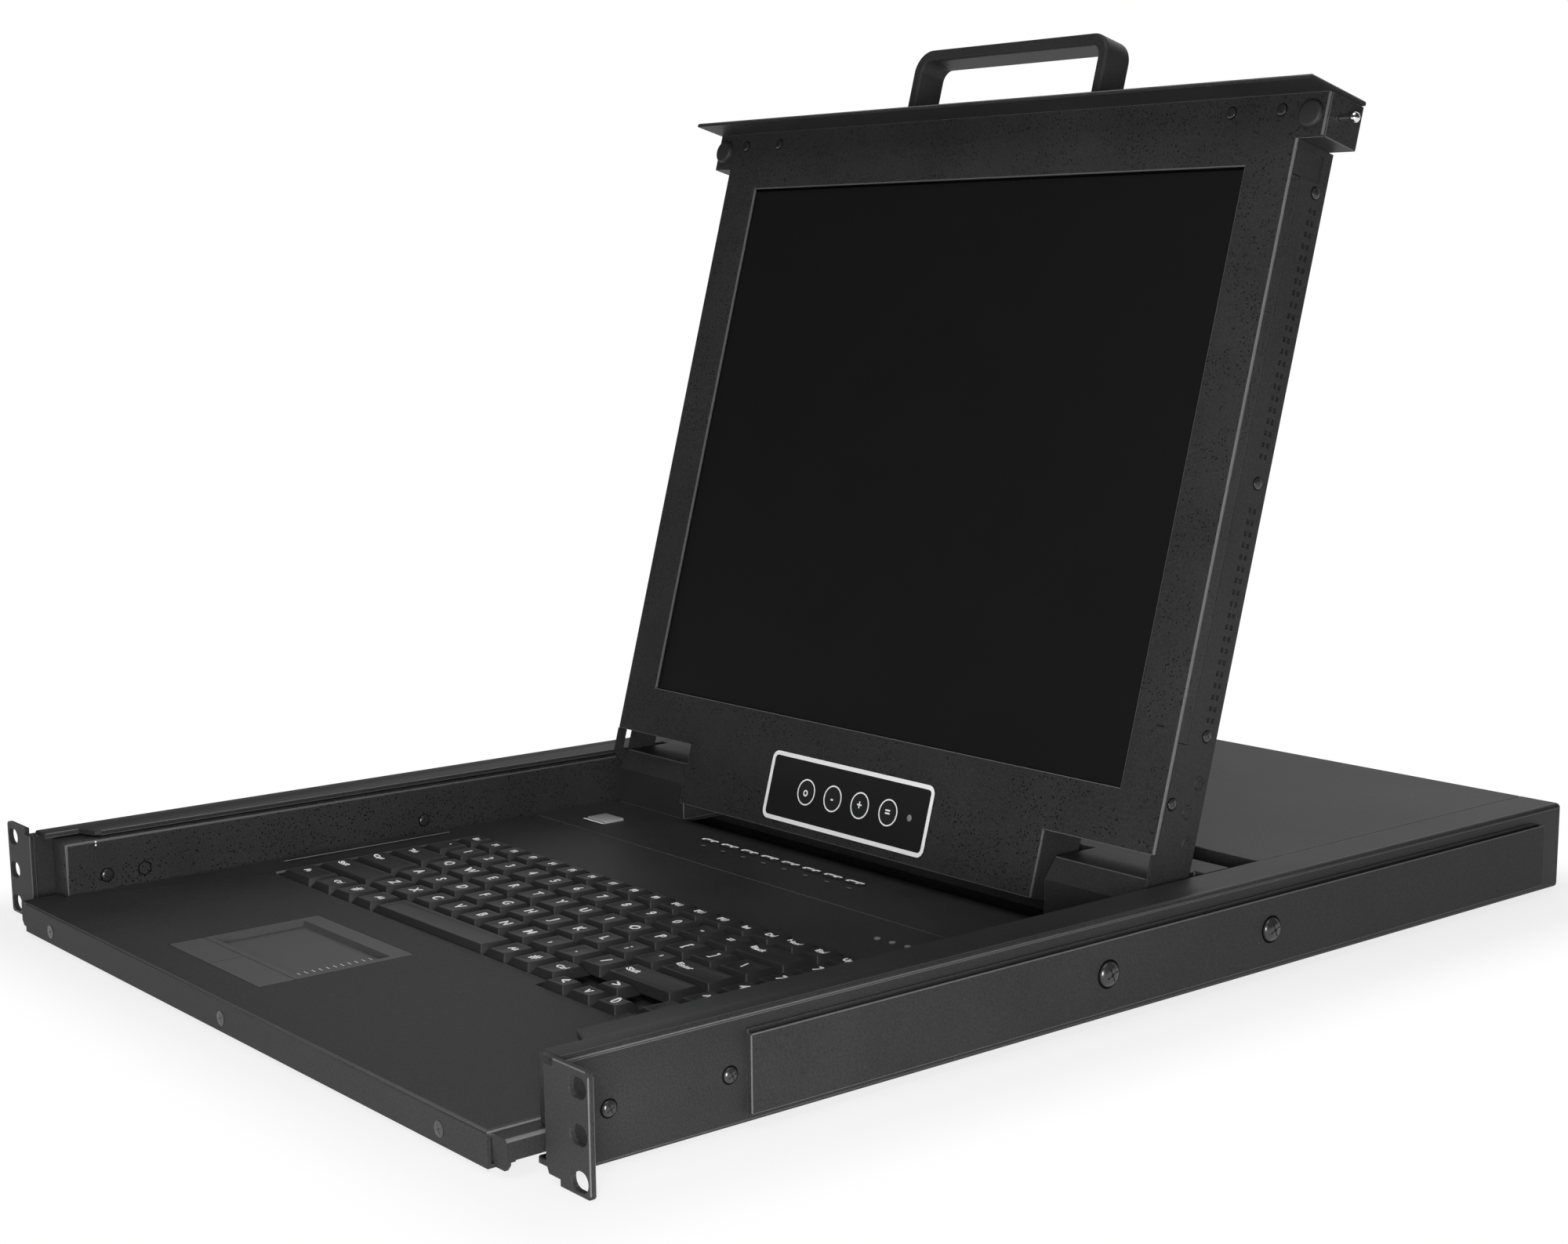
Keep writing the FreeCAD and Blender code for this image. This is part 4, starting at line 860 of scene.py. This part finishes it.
class DRAWER_OT_port_buttons(bpy.types.Operator):
    """Builds the row of port buttons behind the keys, with their signs"""
    bl_idname = "drawer.port_buttons"
    bl_label = "Port buttons"

    def execute(self, context):
        root, proud, edge, line, bar = PRINT_ROOT, 0.3 * MM, 0.5 * MM, 0.8 * MM, 1.3 * MM
        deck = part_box("drawer_tray")[1].z
        signs = []
        for k in PORTS:
            node = "port_button_%d" % k
            low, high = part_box(node)
            box_piece("port_key_%d" % k, node, "black_plastic", [(low, high)], 0.35 * MM,
                      node=node, slot="black_plastic")
            # two white bars across the button and one along its back
            bars = [((x, low.y + edge, high.z - root),
                     (x + bar, high.y - edge, high.z + proud))
                    for x in (low.x + edge, high.x - 4.4 * MM)]
            bars.append(((low.x + edge, high.y - edge - line, high.z - root),
                         (high.x - edge, high.y - edge, high.z + proud)))
            box_piece("port_mark_%d" % k, node, "print_white", bars)
            x = (low.x + high.x) / 2 + PORT_SIGN_X * MM
            signs.append(((x - bar, PORT_SIGN_Y[0] * MM, deck - root),
                          (x + bar, PORT_SIGN_Y[1] * MM,
                           deck + context.scene.drawer_sizes.print_lift)))
        box_piece("port_signs", "drawer", "pale", signs)
        return {"FINISHED"}


class DRAWER_OT_deck_marks(bpy.types.Operator):
    """Marks the deck and the left wall, and sets the indicator lights"""
    bl_idname = "drawer.deck_marks"
    bl_label = "Deck marks"

    def execute(self, context):
        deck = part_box("drawer_tray")[1].z
        box_piece("push_sign", "drawer", "print_white",
                  [((PUSH_SIGN_X[0] * MM, PUSH_SIGN_Y[0] * MM, deck - PRINT_ROOT),
                    (PUSH_SIGN_X[1] * MM, PUSH_SIGN_Y[1] * MM,
                     deck + context.scene.drawer_sizes.print_lift))])
        turned_piece("panel_indicators", "drawer", "lamp",
                     ((0.0, -0.9 * MM), (1.45 * MM, -0.9 * MM), (1.45 * MM, -0.3 * MM),
                      (1.0 * MM, 0.0), (0.0, 0.05 * MM)),
                     [Matrix.Translation((x * MM, y * MM, deck)) for x, y in INDICATORS])
        # a pale strip along the tray's bead: a painted highlight, not the coat's own colour
        box_piece("tray_bead_highlight", "drawer", "pale",
                  [((BEAD_X[0] * MM, BEAD_Y[0] * MM, deck - 0.1 * MM),
                    (BEAD_X[1] * MM, BEAD_Y[1] * MM, deck + 0.15 * MM))], 0.1 * MM)
        # a thin near-black six-sided ring of painted shade round a stud, and two dots on the wall's inner face
        face = Matrix.Rotation(math.pi / 2, 4, "Y")
        stud, *dots = [Matrix.Translation(Vector((WALL_X, y, z)) * MM) @ face
                       for y, z in (STUD_YZ, *DOTS_YZ)]
        turned_piece("wall_stud_shade_ring", "drawer", "painted_shade", band(3.1 * MM, 3.7 * MM), [stud], 6)
        turned_piece("wall_marks", "drawer", "print_white", band(0.0, 0.45 * MM), dots, 12)
        return {"FINISHED"}


class DRAWER_OT_push_button(bpy.types.Operator):
    """Builds the grey push button by the left wall"""
    bl_idname = "drawer.push_button"
    bl_label = "Push button"

    def execute(self, context):
        box_piece("push_key", "power_button", "grey_plastic", [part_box("power_button")], 0.5 * MM,
                  3, node="power_button", slot="grey_plastic")
        return {"FINISHED"}


class DRAWER_OT_pins(bpy.types.Operator):
    """Turns the chrome latch pins and the rubber bumpers"""
    bl_idname = "drawer.pins"
    bl_label = "Pins and bumpers"

    def execute(self, context):
        for side, name in ((1.0, "right"), (-1.0, "left")):
            node = "latch_pin_" + name
            low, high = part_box(node)
            tip = high.x if side > 0 else -low.x
            tail = low.x if side > 0 else -high.x
            center = (low + high) / 2
            rod, head, collar = 1.1 * MM, 2.2 * MM, 3.0 * MM
            inner, outer = (x * MM for x in PIN_COLLAR_X)
            profile = ((0.0, tail), (rod * 0.8, tail), (rod, tail + 0.3 * MM),
                       (rod, inner), (collar, inner), (collar, outer), (rod, outer),
                       (rod, tip - 3.6 * MM), (head * 0.9, tip - 3.55 * MM),
                       (head, tip - 3.2 * MM), (head, tip - 1.4 * MM),
                       (head * 0.92, tip - 0.9 * MM), (head * 0.72, tip - 0.35 * MM),
                       (head * 0.35, tip - 0.05 * MM), (0.0, tip))
            turned_piece("latch_pin_turned_" + name, node, "chrome_pin", profile,
                         [facing((0, center.y, center.z), (side, 0, 0))], node=node,
                         slot="chrome_pin")
        foot, top = 5.8 * MM, 2.7 * MM
        profile = ((0.0, 0.0), (foot, 0.0), (foot, 1.7 * MM), (foot * 0.97, 2.2 * MM),
                   (foot * 0.88, 2.6 * MM), (foot * 0.75, top), (0.0, top))
        turned_piece("rubber_bumpers", "screen", "bumper_rubber", profile,
                     [on_face(side * BUMPER_X, BUMPER_V) for side in (1.0, -1.0)],
                     node="bumpers", slot="bumper_rubber")
        return {"FINISHED"}


class DRAWER_OT_stage(bpy.types.Operator):
    """Sets up the floor, the lamps and the camera"""
    bl_idname = "drawer.stage"
    bl_label = "Stage"

    def execute(self, context):
        scene = context.scene
        self.lay_floor(scene)
        self.light_room(scene)
        for settings in LAMPS:
            self.hang_lamp(scene, *settings)
        self.set_camera(scene)
        scene.view_settings.view_transform = "Standard"
        return {"FINISHED"}

    def lay_floor(self, scene):
        """A white floor, painted greyer next to the drawer, where the lamps' real shadow also shows."""
        low, high = CAD_BOUNDS
        bm = bmesh.new()
        bmesh.ops.create_grid(bm, x_segments=1, y_segments=1, size=FLOOR_HALF)
        bmesh.ops.translate(bm, vec=(0, 0, low[2] - FLOOR_GAP), verts=bm.verts)
        mesh = bpy.data.meshes.new("studio_floor")
        bm.to_mesh(mesh)
        bm.free()
        floor = bpy.data.objects.new("studio_floor", mesh)
        scene.collection.objects.link(floor)
        material = bpy.data.materials.new("floor_paint")
        material.use_nodes = True
        tree = material.node_tree
        tree.nodes.clear()
        shade = Shade(tree)
        paint = shade.node("ShaderNodeBsdfPrincipled",
                           {"Base Color": (*scene.drawer_colours.floor, 1.0),
                            "Roughness": 0.9, "Specular IOR Level": 0.1})
        white = shade.node("ShaderNodeEmission", {"Color": (1.0, 1.0, 1.0, 1.0)})
        # how far a point lies outside the drawer's footprint
        half = [(high[k] - low[k]) / 2 for k in (0, 1)] + [1.0]
        place = shade.node("ShaderNodeMapping",
                           {"Vector": shade.node("ShaderNodeTexCoord", out=3),
                            "Location": (-(low[0] + high[0]) / 2, -(low[1] + high[1]) / 2, 0)})
        place = shade.node("ShaderNodeVectorMath", {0: place}, operation="ABSOLUTE")
        place = shade.node("ShaderNodeVectorMath", {0: place, 1: half}, operation="SUBTRACT")
        place = shade.node("ShaderNodeVectorMath", {0: place, 1: (0, 0, 0)}, operation="MAXIMUM")
        reach = shade.node("ShaderNodeVectorMath", {0: place}, out=1, operation="LENGTH")
        # painted shade: next to the drawer less white is mixed in, so the floor is greyer there on top of the real
        # shadow its paint catches
        away = shade.node("ShaderNodeMapRange",
                          {0: reach, 1: 0.0, 2: FLOOR_REACH, 3: FLOOR_SHADE, 4: 1.0},
                          interpolation_type="SMOOTHSTEP")
        # the camera and reflections see the white floor
        seen = shade.math("MAXIMUM", shade.node("ShaderNodeLightPath", out=0),
                          shade.node("ShaderNodeLightPath", out=3))
        mix = shade.node("ShaderNodeMixShader", {0: seen * away, 1: paint, 2: white})
        output = tree.nodes.new("ShaderNodeOutputMaterial")
        tree.links.new(mix.socket, output.inputs["Surface"])
        mesh.materials.append(material)

    def light_room(self, scene):
        """A white backdrop behind the drawer and a dim room in front of it."""
        world = bpy.data.worlds.new("studio")
        scene.world = world
        world.use_nodes = True
        tree = world.node_tree
        tree.nodes.clear()
        shade = Shade(tree)
        way = shade.node("ShaderNodeVectorMath",
                         {0: shade.node("ShaderNodeTexCoord"), 1: BACKDROP_WAY}, out=1,
                         operation="DOT_PRODUCT")
        room = shade.node("ShaderNodeMapRange",
                          {0: way, 1: 0.45, 2: 1.0, 3: ROOM_LIGHT, 4: BACKDROP_LIGHT},
                          interpolation_type="SMOOTHSTEP")
        seen = shade.node("ShaderNodeLightPath", out=0)
        back = shade.node("ShaderNodeBackground",
                          {"Color": (1.0, 1.0, 1.0, 1.0),
                           "Strength": shade.math("MAXIMUM", seen, room)})
        output = tree.nodes.new("ShaderNodeOutputWorld")
        tree.links.new(back.socket, output.inputs["Surface"])

    def hang_lamp(self, scene, name, place, aim, size, power):
        """A round soft lamp that points at its aim."""
        lamp = bpy.data.lights.new(name, "AREA")
        lamp.shape = "DISK"
        lamp.size = size
        lamp.energy = power
        holder = bpy.data.objects.new(name, lamp)
        holder.location = place
        line = Vector(aim) - Vector(place)
        holder.rotation_euler = line.to_track_quat("-Z", "Y").to_euler()
        scene.collection.objects.link(holder)

    def set_camera(self, scene):
        """The camera in front of the drawer's right corner."""
        camera = bpy.data.cameras.new("camera")
        camera.lens = CAMERA_LENS
        camera.sensor_width = 36.0
        camera.shift_x, camera.shift_y = CAMERA_SHIFT
        camera.clip_start = 0.05
        holder = bpy.data.objects.new("camera", camera)
        holder.location = CAMERA_PLACE
        turn = Vector(CAMERA_AIM).to_track_quat("-Z", "Y")
        holder.rotation_mode = "QUATERNION"
        holder.rotation_quaternion = turn @ Quaternion((0, 0, 1), CAMERA_ROLL)
        scene.collection.objects.link(holder)
        scene.camera = holder


class DRAWER_PT_panel(bpy.types.Panel):
    """Lists the drawer's sizes, colours and pieces"""
    bl_idname = "DRAWER_PT_panel"
    bl_label = "Console Drawer"
    bl_space_type = "VIEW_3D"
    bl_region_type = "UI"
    bl_category = "Console Drawer"

    def draw(self, context):
        layout = self.layout
        for group in (context.scene.drawer_colours, context.scene.drawer_sizes):
            for name in group.__annotations__:
                layout.prop(group, name)
        for operator in OPERATORS:
            layout.operator(operator.bl_idname)


GROUPS = (DrawerColours, DrawerSizes)
OPERATORS = (
    DRAWER_OT_finishes,
    DRAWER_OT_sheet_metal,
    DRAWER_OT_keys,
    DRAWER_OT_screws,
    DRAWER_OT_screen_buttons,
    DRAWER_OT_touchpad_marks,
    DRAWER_OT_port_buttons,
    DRAWER_OT_deck_marks,
    DRAWER_OT_push_button,
    DRAWER_OT_pins,
    DRAWER_OT_stage,
)


def register():
    for cls in GROUPS + OPERATORS + (DRAWER_PT_panel,):
        bpy.utils.register_class(cls)
    bpy.types.Scene.drawer_colours = PointerProperty(type=DrawerColours)
    bpy.types.Scene.drawer_sizes = PointerProperty(type=DrawerSizes)


def unregister():
    del bpy.types.Scene.drawer_sizes
    del bpy.types.Scene.drawer_colours
    for cls in reversed(GROUPS + OPERATORS + (DRAWER_PT_panel,)):
        bpy.utils.unregister_class(cls)


def main():
    register()
    bpy.ops.drawer.finishes()
    bpy.ops.drawer.sheet_metal()
    bpy.ops.drawer.keys()
    bpy.ops.drawer.screws()
    bpy.ops.drawer.screen_buttons()
    bpy.ops.drawer.touchpad_marks()
    bpy.ops.drawer.port_buttons()
    bpy.ops.drawer.deck_marks()
    bpy.ops.drawer.push_button()
    bpy.ops.drawer.pins()
    bpy.ops.drawer.stage()


if __name__ == "__main__":
    main()
